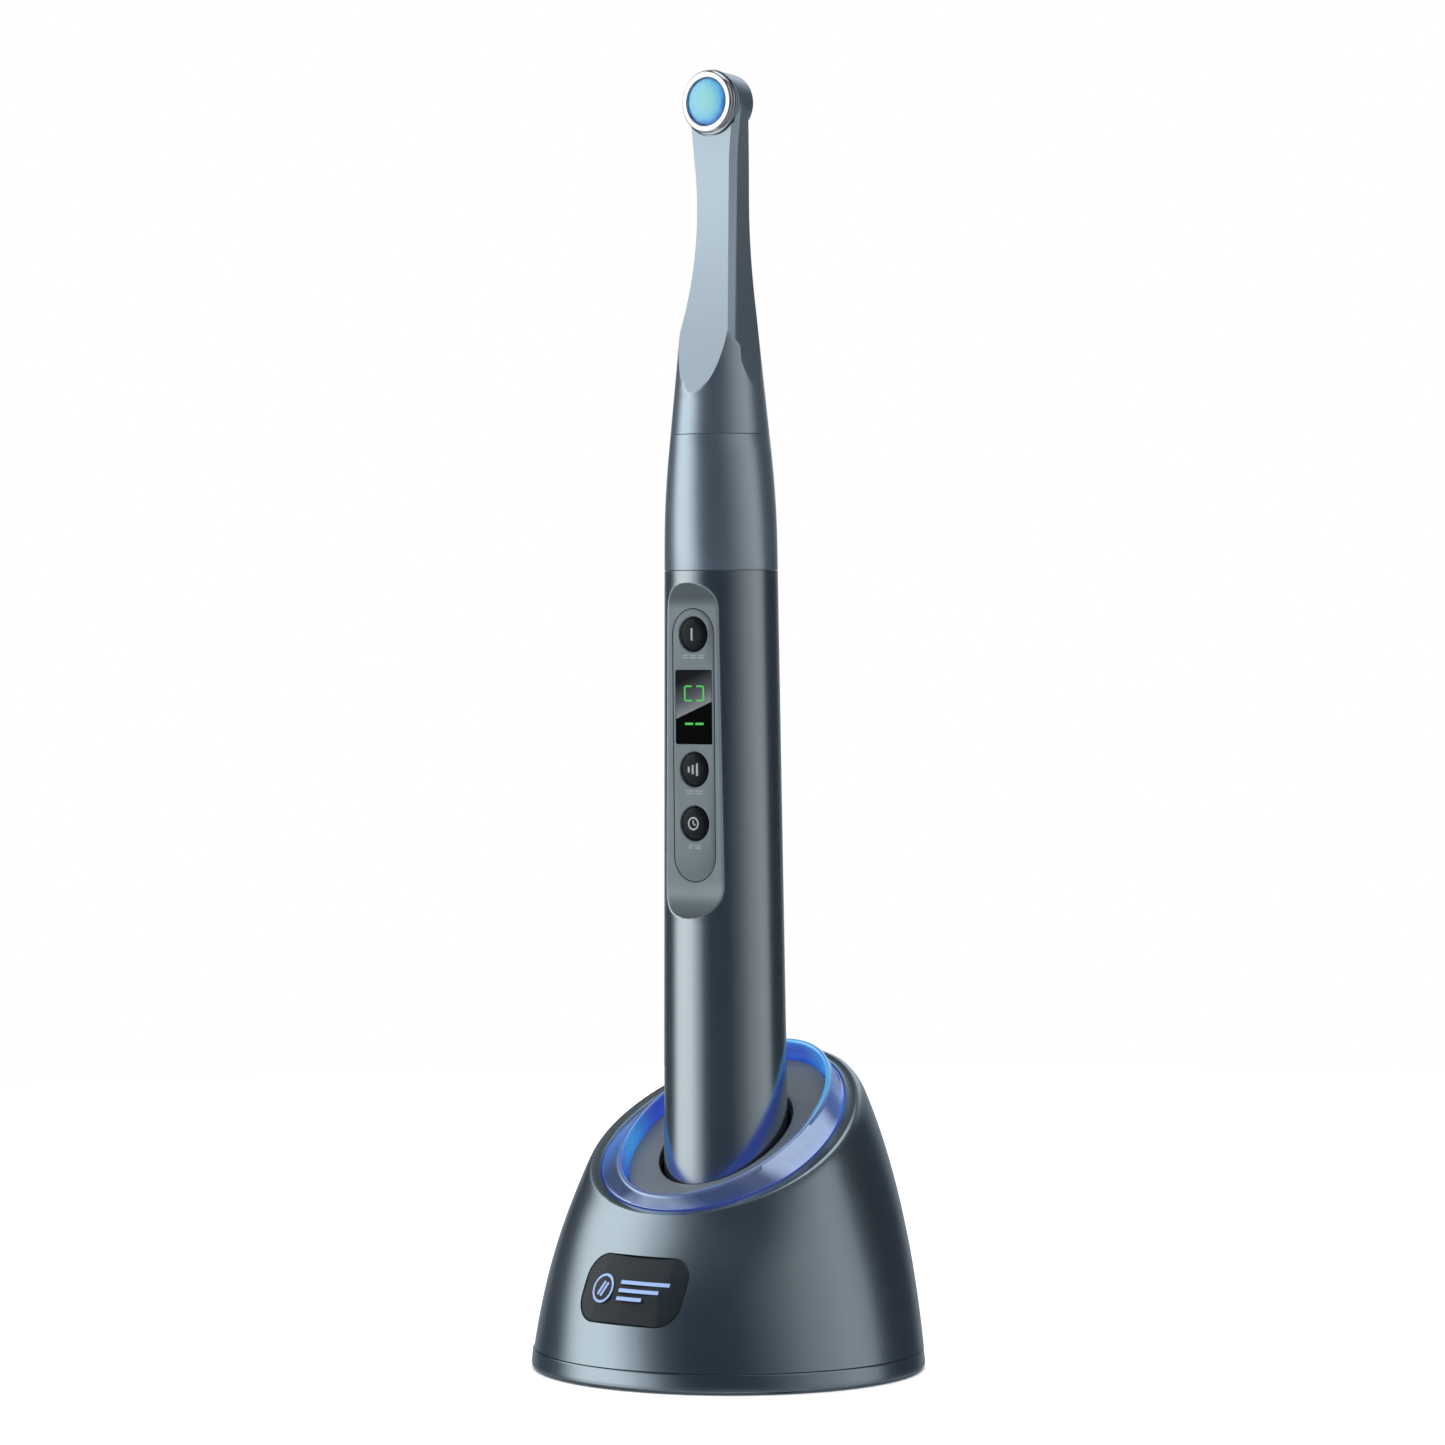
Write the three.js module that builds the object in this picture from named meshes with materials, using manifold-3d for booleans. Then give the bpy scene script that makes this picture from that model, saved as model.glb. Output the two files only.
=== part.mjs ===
// A cordless dental curing light: a slim pen handpiece with a turning head, standing in its charging base.
// Millimetres, +Z up. The origin is under the handpiece's axis, on the surface that the base stands on.
// The front, with the lens and the control panel, faces -Y.
import * as THREE from "three";
import { mergeVertices } from "three/addons/utils/BufferGeometryUtils.js";
import Module from "manifold-3d";

const wasm = await Module();
wasm.setup();

// ---- Driving dimensions ----
const GAP = 0.3; // left between pieces that touch
const ROUND = 32; // sides of a large round that shows
const INNER_ROUND = 24; // sides of a round inside, or of a button
const SMALL_ROUND = 14; // sides of a small round

// Handpiece, from the tail up
const TAIL_Z = 12; // the tail's face, as it stands in the base
const CAP_TOP_Z = 17; // tail cap to tube
const TUBE_TOP_Z = 148.5; // tube to collar
const SEAM_Z = 173.7; // collar to turning head
const TAIL_R = 11.6;
const TUBE_TOP_R = 10.56;
const STRAIGHT_Z = 40; // below this the tube has one radius
const SEAM_R = 9.22;
const CONE_SLOPE = 0.1; // radius lost per millimetre of height on the head's cone
const BORE_R = 9.45; // the tube's bore, round the cell
const CELL_R = 9.1;
const CELL_Z = [18.9, 82.9];

// Control panel
const FLAT_Y = -8.81; // the flat recess in the tube's front
const FLAT_Z = [89.85, 141.25];
const SCOOP_R = 8; // the round ends of the recess
const INNER_FLAT_Y = -7.3; // inside face of the wall behind the panel
const PANEL_Z = [90.8, 141.5];
const PANEL_HALF = 4.85;
const SEAM = 0.15; // width of a fine seam
const BUTTONS = { power: 136.7, mode: 111.7, timer: 101.7 };
const BUTTON_R = 3;
const WINDOW = { z: 123.25, wide: 8.4, tall: 13.7 };
const BUTTON_PROUD = 0.45; // how far a button's crown stands over the flat
const BUTTON_FLANGE = { r: 3.6, y: [-7.1, -6.6] }; // keeps a button from falling out
const BOARD_Y = [-3.8, -2.8];
const BOARD_Z = [88.5, 145];
const CAVITY_R = 9.3; // the room for the boards, above the cell
const CAVITY_TOP_Z = 145.6;
const SOCKET_R = 9.15; // where the collar's foot sits in the tube

// Head and neck
const HEAD_Z = 235.4; // the lens's axis
const BEZEL_FRONT_Y = -3.44;
const HEAD_FRONT_Y = -1.3;
const HEAD_BACK_Y = 4.5;
const LENS_R = 4.35;
const ENVELOPE_R = 5.81; // the turned radius that rounds the neck's back corners
const NECK_CHAMFER = 1.2;

// Base
const BASE_X = 37.7; // half width at the floor
const BASE_Y = 35.3; // half depth at the floor
const TILT = THREE.MathUtils.degToRad(32); // slope of the base's top
const RIM_Z = 44.1; // height of the sloping top over the axis
const RIM = { x: 26.1, along: 25.7, egg: 0.09 };
const RING_FOOT = { x: 23.6, along: 24.6, egg: 0.1, shift: 0.4 };
const RING_TOP = { x: 19.6, along: 24.6, egg: 0.03, shift: 1.09 };
const RING_WALL = 1;
const RING_HEIGHT = 2.5;
const LEDGE = 2.2; // depth of the seat for the light ring and deck plate
const SHELL_WALL = 2.2;
const SHELL_FOOT_Z = 3.8;
const PLATE_Z = [0.5, 3.5];
const WELL_R = 12.1;
const HOLE_R = 12.5; // hole in the deck plate
const BASE_SIDES = 40;
const BADGE = { z: 17.4, wide: 23, tall: 11.8, corner: 4.2 };
const INLET = { z: 11, wide: 9.4, tall: 3.6 };
const PIN_X = [0, -5.5, 5.5];
const FOOT_AT = [[24, 17], [-24, 17], [-24, -17], [24, -17]];
const SCREW_AT = [[15, -24], [-15, -24], [0, 24]];

// ---- Materials ----
const finish = (color, roughness, metalness) =>
  new THREE.MeshStandardMaterial({ color, roughness, metalness });
const tubeMetal = finish(0x3d474f, 0.34, 0.9);
const headMetal = finish(0x66757f, 0.32, 0.9);
const shellPaint = finish(0x39444c, 0.38, 0.6);
const deckPlastic = finish(0x4c5055, 0.5, 0.1);
const blackPlastic = finish(0x101214, 0.45, 0);
const greyPlastic = finish(0x6b7174, 0.5, 0);
const panelGrey = finish(0x5d666a, 0.5, 0.3);
const chrome = finish(0xd8dce0, 0.08, 1);
const steel = finish(0x9a9fa3, 0.3, 1);
const brass = finish(0xc09a4a, 0.3, 1);
const copper = finish(0xb5683a, 0.35, 1);
const boardGreen = finish(0x1e5b35, 0.6, 0);
const rubber = finish(0x1b1c1e, 0.8, 0);
const glass = finish(0x4fb0dd, 0.08, 0);
const blackGlass = finish(0x08090a, 0.06, 0);
const ringBlue = finish(0x2647d8, 0.15, 0);
const cellWrap = finish(0x2f5f9e, 0.4, 0);

// ---- Solids ----
function solid(geometry) {
  const bare = geometry.clone();
  bare.deleteAttribute("normal");
  if (bare.hasAttribute("uv")) bare.deleteAttribute("uv");
  const merged = mergeVertices(bare, 1e-4);
  const triVerts = new Uint32Array(merged.index.array);
  const vertProperties = merged.attributes.position.array;
  const made = new wasm.Manifold(new wasm.Mesh({ numProp: 3, vertProperties, triVerts }));
  if (made.volume() >= 0) return made;
  const turned = triVerts.map((_, i) => triVerts[i % 3 === 1 ? i + 1 : i % 3 === 2 ? i - 1 : i]);
  return new wasm.Manifold(new wasm.Mesh({ numProp: 3, vertProperties, triVerts: turned }));
}

function geometryOf(made) {
  const mesh = made.getMesh();
  return new THREE.BufferGeometry()
    .setAttribute("position", new THREE.BufferAttribute(new Float32Array(mesh.vertProperties), 3))
    .setIndex(new THREE.BufferAttribute(new Uint32Array(mesh.triVerts), 1));
}

const cut = (body, ...tools) => tools.reduce((left, tool) => left.subtract(tool), body);
const join = (first, ...others) => others.reduce((sum, other) => sum.add(other), first);

// Turned about Z from a closed or axis-to-axis outline of [radius, z] pairs.
const turned = (outline, sides = ROUND) =>
  solid(latheOf(outline, sides).rotateX(Math.PI / 2));

// Turned about the lens's or a button's axis, parallel to Y, from [radius, y] pairs.
const turnedY = (outline, z, sides = ROUND) => solid(latheOf(outline, sides).translate(0, 0, z));

function latheOf(outline, sides) {
  return new THREE.LatheGeometry(outline.map(([r, h]) => new THREE.Vector2(r, h)), sides);
}

const closed = (outline) => [...outline, outline[0]];

const rod = (r, [z0, z1], [x, y] = [0, 0], sides = ROUND) =>
  turned([[0, z0], [r, z0], [r, z1], [0, z1]], sides).translate(x, y, 0);

const tube = (outer, inner, [z0, z1], sides = INNER_ROUND) =>
  turned(closed([[inner, z0], [outer, z0], [outer, z1], [inner, z1]]), sides);

const rodY = (r, [y0, y1], z, sides = ROUND) =>
  turnedY([[0, y0], [r, y0], [r, y1], [0, y1]], z, sides);

const block = ([x0, x1], [y0, y1], [z0, z1]) =>
  solid(new THREE.BoxGeometry(x1 - x0, y1 - y0, z1 - z0)
    .translate((x0 + x1) / 2, (y0 + y1) / 2, (z0 + z1) / 2));

// A rounded rectangle that faces -Y, from y0 to y1.
function slab(wide, tall, corner, [y0, y1], z, curveSegments = 8) {
  const shape = roundedRectangle(wide, tall, corner);
  const options = { depth: y1 - y0, bevelEnabled: false, curveSegments };
  return solid(new THREE.ExtrudeGeometry(shape, options).rotateX(Math.PI / 2).translate(0, y1, z));
}

function roundedRectangle(wide, tall, corner) {
  const x = wide / 2;
  const y = tall / 2;
  const quarter = Math.PI / 2;
  const shape = new THREE.Shape();
  shape.moveTo(x, corner - y);
  if (tall > 2 * corner) shape.lineTo(x, y - corner);
  shape.absarc(x - corner, y - corner, corner, 0, quarter);
  if (wide > 2 * corner) shape.lineTo(corner - x, y);
  shape.absarc(corner - x, y - corner, corner, quarter, 2 * quarter);
  if (tall > 2 * corner) shape.lineTo(-x, corner - y);
  shape.absarc(corner - x, corner - y, corner, 2 * quarter, 3 * quarter);
  if (wide > 2 * corner) shape.lineTo(x - corner, -y);
  shape.absarc(x - corner, corner - y, corner, 3 * quarter, 4 * quarter);
  return shape;
}

// A skin over rings of points. Each ring runs anticlockwise from above and the rings go up the outside.
// A looped skin goes on over the inside and meets its first ring again; any other has flat ends.
function skin(rings, looped) {
  const sides = rings[0].length;
  const points = rings.flat(2);
  const index = [];
  const spans = looped ? rings.length : rings.length - 1;
  for (let i = 0; i < spans; i++) {
    const low = i * sides;
    const high = ((i + 1) % rings.length) * sides;
    for (let j = 0; j < sides; j++) {
      const next = (j + 1) % sides;
      index.push(low + j, low + next, high + next, low + j, high + next, high + j);
    }
  }
  if (!looped) {
    addEnd(points, index, rings[0], 0, true);
    addEnd(points, index, rings.at(-1), (rings.length - 1) * sides, false);
  }
  return solid(new THREE.BufferGeometry()
    .setAttribute("position", new THREE.Float32BufferAttribute(points, 3))
    .setIndex(index));
}

function addEnd(points, index, ring, start, facesDown) {
  const middle = [0, 1, 2].map((k) => ring.reduce((sum, p) => sum + p[k], 0) / ring.length);
  const centre = points.length / 3;
  points.push(...middle);
  ring.forEach((_, j) => {
    const next = (j + 1) % ring.length;
    index.push(centre, start + (facesDown ? next : j), start + (facesDown ? j : next));
  });
}

function part(name, made, material, parent) {
  const mesh = new THREE.Mesh(geometryOf(made), material);
  mesh.name = name;
  parent.add(mesh);
}

// ---- Tube and collar outline ----
const tubeRadius = (z) =>
  TAIL_R + ((TUBE_TOP_R - TAIL_R) * Math.max(0, z - STRAIGHT_Z)) / (TUBE_TOP_Z - STRAIGHT_Z);
const coneRadius = (z) => SEAM_R - CONE_SLOPE * (z - SEAM_Z);

// Points of a smooth bend from one straight taper into the next.
function bend(from, corner, to, steps) {
  const curve = new THREE.QuadraticBezierCurve(
    new THREE.Vector2(...from), new THREE.Vector2(...corner), new THREE.Vector2(...to));
  return curve.getPoints(steps).map((p) => [p.x, p.y]);
}

const COLLAR_BEND = bend([tubeRadius(153), 153], [10.43, 161.55], [coneRadius(170), 170], 5);
const NECK_BEND = bend([coneRadius(198.6), 198.6], [ENVELOPE_R, 207.8], [ENVELOPE_R, 217], 4);

// ---- Handpiece body ----
function recessTool() {
  const [z0, z1] = FLAT_Z;
  const outside = FLAT_Y - SCOOP_R;
  const shape = new THREE.Shape();
  shape.moveTo(outside, z0 - SCOOP_R);
  shape.absarc(outside, z0, SCOOP_R, -Math.PI / 2, 0);
  shape.lineTo(FLAT_Y, z1);
  shape.absarc(outside, z1, SCOOP_R, 0, Math.PI / 2);
  const depth = 4 * TAIL_R;
  const options = { depth, bevelEnabled: false, curveSegments: 9 };
  const across = new THREE.Matrix4().makeBasis(
    new THREE.Vector3(0, 1, 0), new THREE.Vector3(0, 0, 1), new THREE.Vector3(1, 0, 0));
  return solid(new THREE.ExtrudeGeometry(shape, options)
    .translate(0, 0, -depth / 2)
    .applyMatrix4(across));
}

function mainTube() {
  const z0 = CAP_TOP_Z + GAP;
  const z1 = TUBE_TOP_Z - SEAM;
  const bar = turned([
    [0, z0], [TAIL_R, z0], [TAIL_R, STRAIGHT_Z], [tubeRadius(z1), z1], [0, z1]]);
  const bore = rod(BORE_R, [0, CELL_Z[1] + 1.4]);
  const cavity = rod(CAVITY_R, [CELL_Z[1] + 1, CAVITY_TOP_Z])
    .intersect(block([-20, 20], [INNER_FLAT_Y, 20], [0, 200]));
  const socket = rod(SOCKET_R, [CAVITY_TOP_Z - 0.1, 160]);
  return cut(bar, bore, cavity, socket, recessTool(), panelOval(0, [-20, 0]));
}

function panelOval(inset, [y0, y1]) {
  const [z0, z1] = PANEL_Z;
  const half = PANEL_HALF - inset;
  return slab(2 * half, z1 - z0 - 2 * inset, half, [y0, y1], (z0 + z1) / 2, 10);
}

function controlPanel() {
  const holes = Object.values(BUTTONS).map((z) => rodY(BUTTON_R + SEAM, [-20, 0], z, INNER_ROUND));
  const window = slab(WINDOW.wide, WINDOW.tall, 0.3, [-20, 0], WINDOW.z, 2);
  return cut(panelOval(0.2, [FLAT_Y, INNER_FLAT_Y]), ...holes, window);
}

function displayWindow() {
  const inset = 2 * SEAM;
  return slab(WINDOW.wide - inset, WINDOW.tall - inset, 0.3, [FLAT_Y - 0.05, -7.9], WINDOW.z, 2);
}

function button(z) {
  const crown = FLAT_Y - BUTTON_PROUD;
  const { r, y: [front, back] } = BUTTON_FLANGE;
  const stem = { r: 1.2, end: back + 0.65 };
  return turnedY([
    [0, crown], [1.6, crown + 0.08], [2.5, crown + 0.28], [BUTTON_R, crown + 0.55], [BUTTON_R, front],
    [r, front], [r, back], [stem.r, back], [stem.r, stem.end], [0, stem.end]], z, INNER_ROUND);
}

const tactSwitch = (z) =>
  join(block([-2.2, 2.2], [-5, BOARD_Y[0] - 0.1], [z - 2.2, z + 2.2]), rodY(1.1, [-5.4, -4.9], z, SMALL_ROUND));

function collarSleeve() {
  const bottom = TUBE_TOP_Z + SEAM;
  const top = SEAM_Z - SEAM;
  const foot = { r: SOCKET_R - 0.15, z: CAVITY_TOP_Z + GAP };
  const bore = 7.6;
  const neck = { r: 7.05, z: 164.6 }; // narrower above, round the swivel bush
  return turned(closed([
    [bore, foot.z], [foot.r, foot.z], [foot.r, bottom], [tubeRadius(bottom), bottom],
    ...COLLAR_BEND, [coneRadius(top), top], [neck.r, top], [neck.r, neck.z], [bore, neck.z]]));
}

function boardCarrier() {
  const rail = 8.1;
  const shape = new THREE.Shape([
    [-rail, -4.1], [-7.6, -4.1], [-7.6, -2.4], [7.6, -2.4], [7.6, -4.1], [rail, -4.1],
    [rail, -1.2], [-rail, -1.2]].map(([x, y]) => new THREE.Vector2(x, y)));
  const options = { depth: 55, bevelEnabled: false };
  return solid(new THREE.ExtrudeGeometry(shape, options).translate(0, 0, 88));
}

function batteryCell() {
  const [z0, z1] = CELL_Z;
  return turned([
    [0, z0], [CELL_R - 0.6, z0], [CELL_R, z0 + 0.6], [CELL_R, z1 - 0.6], [CELL_R - 0.6, z1],
    [3, z1], [3, z1 + 1], [0, z1 + 1]], INNER_ROUND);
}

// A conical spring that stands between two heights, as one round wire.
function coilSpring(wireR, [z0, z1], [r0, r1], turns) {
  const points = [];
  const steps = 10 * turns;
  for (let i = 0; i <= steps; i++) {
    const share = i / steps;
    const angle = share * turns * 2 * Math.PI;
    const r = THREE.MathUtils.lerp(r0, r1, share);
    const z = THREE.MathUtils.lerp(z0 + wireR, z1 - wireR, share);
    points.push(new THREE.Vector3(r * Math.cos(angle), r * Math.sin(angle), z));
  }
  return sweep(new THREE.CatmullRomCurve3(points), wireR, steps, 5);
}

function sweep(path, radius, steps, sides) {
  const section = new THREE.Shape();
  for (let j = 0; j < sides; j++) {
    const angle = (j / sides) * 2 * Math.PI;
    section[j ? "lineTo" : "moveTo"](radius * Math.cos(angle), radius * Math.sin(angle));
  }
  const options = { steps, bevelEnabled: false, extrudePath: path };
  return solid(new THREE.ExtrudeGeometry(section, options));
}

function tailCap() {
  const z = TAIL_Z;
  return turned(closed([
    [1.9, z], [4.2, z], [4.2, z + 1.3], [6.8, z + 1.3], [6.8, z], [TAIL_R - 1, z],
    [TAIL_R - 0.3, z + 0.3], [TAIL_R, z + 1], [TAIL_R, CAP_TOP_Z], [9.2, CAP_TOP_Z],
    [9.2, 18.5], [8.2, 18.5], [8.2, 16.5], [1.9, 16.5]]));
}

function addBody(parent) {
  part("main_tube", mainTube(), tubeMetal, parent);
  part("collar_sleeve", collarSleeve(), headMetal, parent);
  part("swivel_bush", tube(6.9, 5.65, [165, 173]), greyPlastic, parent);
  part("control_panel", controlPanel(), panelGrey, parent);
  part("display_window", displayWindow(), blackGlass, parent);
  part("display_module", block([-4, 4], [-7.1, -4.2], [116.7, 129.8]), blackPlastic, parent);
  for (const [name, z] of Object.entries(BUTTONS)) {
    part("button_" + name, button(z), blackPlastic, parent);
    part("switch_" + name, tactSwitch(z), steel, parent);
  }
  part("control_board", block([-7.4, 7.4], BOARD_Y, BOARD_Z), boardGreen, parent);
  part("board_carrier", boardCarrier(), greyPlastic, parent);
  part("controller_chip", block([-3, 3], [-4.8, BOARD_Y[0] - 0.1], [91, 97]), blackPlastic, parent);
  part("driver_coil", rodY(2, [-6.3, BOARD_Y[0] - 0.1], 142.4, SMALL_ROUND), blackPlastic, parent);
  part("battery_cell", batteryCell(), cellWrap, parent);
  part("battery_contact", rod(6.5, [84.3, 84.9], [0, 0], INNER_ROUND), brass, parent);
  part("battery_spring", coilSpring(0.25, [16.8, 18.6], [6, 3], 3), steel, parent);
  part("tail_cap", tailCap(), blackPlastic, parent);
  part("tail_contact_centre", rod(1.6, [TAIL_Z + 0.05, 16.4], [0, 0], SMALL_ROUND), brass, parent);
  part("tail_contact_ring", tube(6.5, 4.5, [TAIL_Z + 0.05, TAIL_Z + 1]), brass, parent);
}

// ---- Turning head ----
const arcRise = (z, vertexZ, radius) => radius - Math.sqrt(radius ** 2 - (z - vertexZ) ** 2);
const neckHalf = (z) => 4.27 + arcRise(z, 215, 130);
const neckFront = (z) => 1.63 + arcRise(Math.min(z, 225), 217.6, 100);
const neckBack = (z) => 4.7 + arcRise(Math.min(z, 222), 222, 180);

// The neck is milled from the turned cone: a scooped front, scooped sides and a scooped back.
function neckEnvelope() {
  const rings = [];
  const top = 236;
  const bottom = 172;
  const steps = 22;
  for (let i = 0; i <= steps; i++) {
    const z = bottom + ((top - bottom) * i) / steps;
    const w = neckHalf(z);
    const f = neckFront(z);
    const b = neckBack(z);
    const c = NECK_CHAMFER;
    rings.push([[w, b, z], [-w, b, z], [-w, c - f, z], [c - w, -f, z], [w - c, -f, z], [w, c - f, z]]);
  }
  return skin(rings, false);
}

function headShell() {
  const bottom = SEAM_Z + SEAM;
  const bar = turned([
    [0, bottom], [coneRadius(bottom), bottom], ...NECK_BEND, [ENVELOPE_R, HEAD_Z], [0, HEAD_Z]]);
  const drum = turnedY([
    [0, HEAD_FRONT_Y], [5.85, HEAD_FRONT_Y], [5.8, 0], [5.5, 3.9], [4.9, HEAD_BACK_Y], [0, HEAD_BACK_Y]],
    HEAD_Z);
  const socket = turned([[0, 170], [5.85, 170], [5.85, 182.5], [1.5, 190], [0, 190]], INNER_ROUND);
  const channel = block([-1.7, 1.7], [-0.3, 3.3], [186, 232]);
  const chamber = rodY(4.8, [-9, 3.4], HEAD_Z);
  const bezelRoom = rodY(6.35, [-9, HEAD_FRONT_Y], HEAD_Z);
  const sealGroove = tube(8.6, 7.4, [170, SEAM_Z + 1.1]);
  const outside = join(bar.intersect(neckEnvelope()), drum);
  return cut(outside, socket, channel, chamber, bezelRoom, sealGroove);
}

function lensBezel() {
  const y = BEZEL_FRONT_Y;
  return turnedY(closed([
    [LENS_R + 0.1, y + 0.1], [LENS_R + 0.25, y], [5.6, y], [5.8, y + 0.2], [5.8, -2.6], [5.45, -2.4],
    [5.45, -2.15], [6, -2], [6, -1.65], [4.6, -1.6], [4.6, 0.6], [4, 0.6], [4, -2], [LENS_R + 0.1, -2]]),
    HEAD_Z);
}

function lens() {
  const y = BEZEL_FRONT_Y;
  return turnedY([
    [0, y - 0.3], [1.6, y - 0.25], [3, y - 0.08], [3.9, y + 0.13], [LENS_R, y + 0.35],
    [LENS_R, -2.3], [0, -2.3]], HEAD_Z);
}

function reflector() {
  return turnedY(closed([[3.85, -1.8], [3.85, 0.3], [2, 0.3], [3.5, -1.8]]), HEAD_Z, INNER_ROUND);
}

function headWiring() {
  const path = new THREE.CatmullRomCurve3([
    new THREE.Vector3(0, 1.5, 230.3), new THREE.Vector3(0, 1.5, 205), new THREE.Vector3(0, 1.2, 190),
    new THREE.Vector3(0, 0.4, 176), new THREE.Vector3(0, 0, 160.4)]);
  return sweep(path, 0.75, 16, 8);
}

function swivelSeal() {
  const ring = new THREE.TorusGeometry(8, 0.45, 6, 28);
  return solid(ring.translate(0, 0, SEAM_Z + 0.52));
}

function addHead(parent) {
  part("head_shell", headShell(), headMetal, parent);
  part("lens_bezel", lensBezel(), chrome, parent);
  part("lens", lens(), glass, parent);
  part("reflector", reflector(), chrome, parent);
  part("led_emitter", block([-1.2, 1.2], [-0.1, 0.6], [HEAD_Z - 1.2, HEAD_Z + 1.2]), greyPlastic, parent);
  part("led_board", rodY(4.5, [0.9, 1.7], HEAD_Z, INNER_ROUND), boardGreen, parent);
  part("heat_slug", rodY(4.5, [2, 3.1], HEAD_Z, INNER_ROUND), copper, parent);
  part("head_wiring", headWiring(), rubber, parent);
  part("wiring_plug", block([-2, 2], [-1.5, 1.5], [152, 160]), blackPlastic, parent);
  part("swivel_spigot", tube(5.5, 4.2, [161, 181.5]), steel, parent);
  part("retaining_clip", tube(7.2, 5.65, [163.3, 164.3]), steel, parent);
  part("swivel_seal", swivelSeal(), rubber, parent);
}

// ---- Charging base ----
const ringAngles = Array.from({ length: BASE_SIDES }, (_, j) => (j / BASE_SIDES) * 2 * Math.PI);

// A point of the sloping top: across, along the slope and out of it.
const onSlope = (across, along, out) => [
  across,
  along * Math.cos(TILT) - out * Math.sin(TILT),
  RIM_Z + along * Math.sin(TILT) + out * Math.cos(TILT)];

// A closed curve in the sloping top, a little narrower uphill.
const egg = ({ x, along, egg: pinch = 0, shift = 0 }, out, grow = 0) =>
  ringAngles.map((t) => onSlope(
    (x + grow) * Math.cos(t) * (1 - pinch * Math.sin(t)), shift + (along + grow) * Math.sin(t), out));

// One point of the dome's outside: t goes round, s goes from the floor, 0, to the top edge, 1.
function domePoint(t, s) {
  const cos = Math.cos(t);
  const sin = Math.sin(t);
  const rise = 19.8 + 1.1 * sin;
  const lean = 0.108 - 0.062 * sin;
  const reach = 12.9 + 1.8 * sin;
  const drop = 1.121; // angle of the wall to the floor at the top edge
  const grow = 0.9 + sin;
  const foot = [BASE_X * cos, BASE_Y * sin, 0];
  const [rimX, rimY, rimZ] = onSlope(RIM.x * cos * (1 - RIM.egg * sin), RIM.along * sin, 0);
  const edge = [rimX + grow * cos, rimY + grow * sin, rimZ + grow * sin * Math.tan(TILT)];
  const low = [foot[0] - rise * lean * cos, foot[1] - rise * lean * sin, rise];
  const high = [
    edge[0] + reach * Math.cos(drop) * cos,
    edge[1] + reach * Math.cos(drop) * sin,
    edge[2] - reach * Math.sin(drop)];
  const r = 1 - s;
  return foot.map((p, k) =>
    r ** 3 * p + 3 * s * r * r * low[k] + 3 * s * s * r * high[k] + s ** 3 * edge[k]);
}

// A ring of the dome's wall, moved inwards by inset.
const domeRing = (s, inset = 0) => ringAngles.map((t) => {
  const [x, y, z] = domePoint(t, s);
  return [x - inset * Math.cos(t), y - inset * Math.sin(t), z];
});

const WALL_STEPS = [0, 0.12, 0.24, 0.36, 0.48, 0.6, 0.72, 0.84, 0.93];

// The outside of the dome up to its rim, with the shoulder rounded over in three steps.
function domeRings(inset = 0) {
  const shoulder = [1 / 3, 2 / 3].map((a) => {
    const start = domeRing(WALL_STEPS.at(-1), inset);
    const corner = domeRing(1, inset);
    const end = egg(RIM, 0, -inset);
    const weights = [(1 - a) ** 2, 2 * a * (1 - a), a * a];
    return start.map((p, j) =>
      p.map((v, k) => weights[0] * v + weights[1] * corner[j][k] + weights[2] * end[j][k]));
  });
  return [...WALL_STEPS.map((s) => domeRing(s, inset)), ...shoulder, egg(RIM, 0, -inset)];
}

function badgePrism(grow) {
  return slab(BADGE.wide + 2 * grow, BADGE.tall + 2 * grow, BADGE.corner + grow, [-45, -15], BADGE.z, 6);
}

function baseShell() {
  const opening = { x: 17.4, along: 21.6, egg: 0.04, shift: 0.6 };
  const inside = WALL_STEPS.slice(0, 7).reverse().map((s) => domeRing(s, SHELL_WALL));
  const body = skin([
    ...domeRings(), egg(RING_FOOT, 0, GAP), egg(RING_FOOT, -LEDGE, GAP), egg(opening, -LEDGE),
    egg(opening, -LEDGE - 1.6), egg(RING_FOOT, -LEDGE - 1.6, -0.4), ...inside], true);
  const below = block([-60, 60], [-60, 60], [-10, SHELL_FOOT_Z]);
  const inletHole = slab(INLET.wide + 0.6, INLET.tall + 0.6, INLET.tall / 2 + 0.3, [20, 60], INLET.z, 6);
  const badgeSeat = cut(badgePrism(0.2), skin(domeRings(1.3), false));
  return cut(body, below, inletHole, badgeSeat);
}

function badge() {
  return cut(badgePrism(0).intersect(skin(domeRings(), false)), skin(domeRings(1), false));
}

function bottomPlate() {
  const [z0, z1] = PLATE_Z;
  const ringAt = (inset, z) => ringAngles.map((t) => [
    (BASE_X - inset) * Math.cos(t), (BASE_Y - inset) * Math.sin(t), z]);
  const plate = skin([ringAt(0.9, z0), ringAt(0.3, z0 + 0.25), ringAt(0.1, z0 + 0.8), ringAt(0.4, z1)], false);
  const sockets = FOOT_AT.map((at) => rod(4.8, [-1, 2.3], at, INNER_ROUND));
  const heads = SCREW_AT.map((at) => rod(2.7, [-1, 2.4], at, SMALL_ROUND));
  const shanks = SCREW_AT.map((at) => rod(1.6, [-1, 9], at, SMALL_ROUND));
  return cut(plate, ...sockets, ...heads, ...shanks);
}

function plateScrew(at) {
  const slot = block([at[0] - 1.8, at[0] + 1.8], [at[1] - 0.3, at[1] + 0.3], [0, 1.5]);
  return cut(join(rod(2.4, [1, 2.1], at, SMALL_ROUND), rod(1.3, [2, 6.8], at, SMALL_ROUND)), slot);
}

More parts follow.
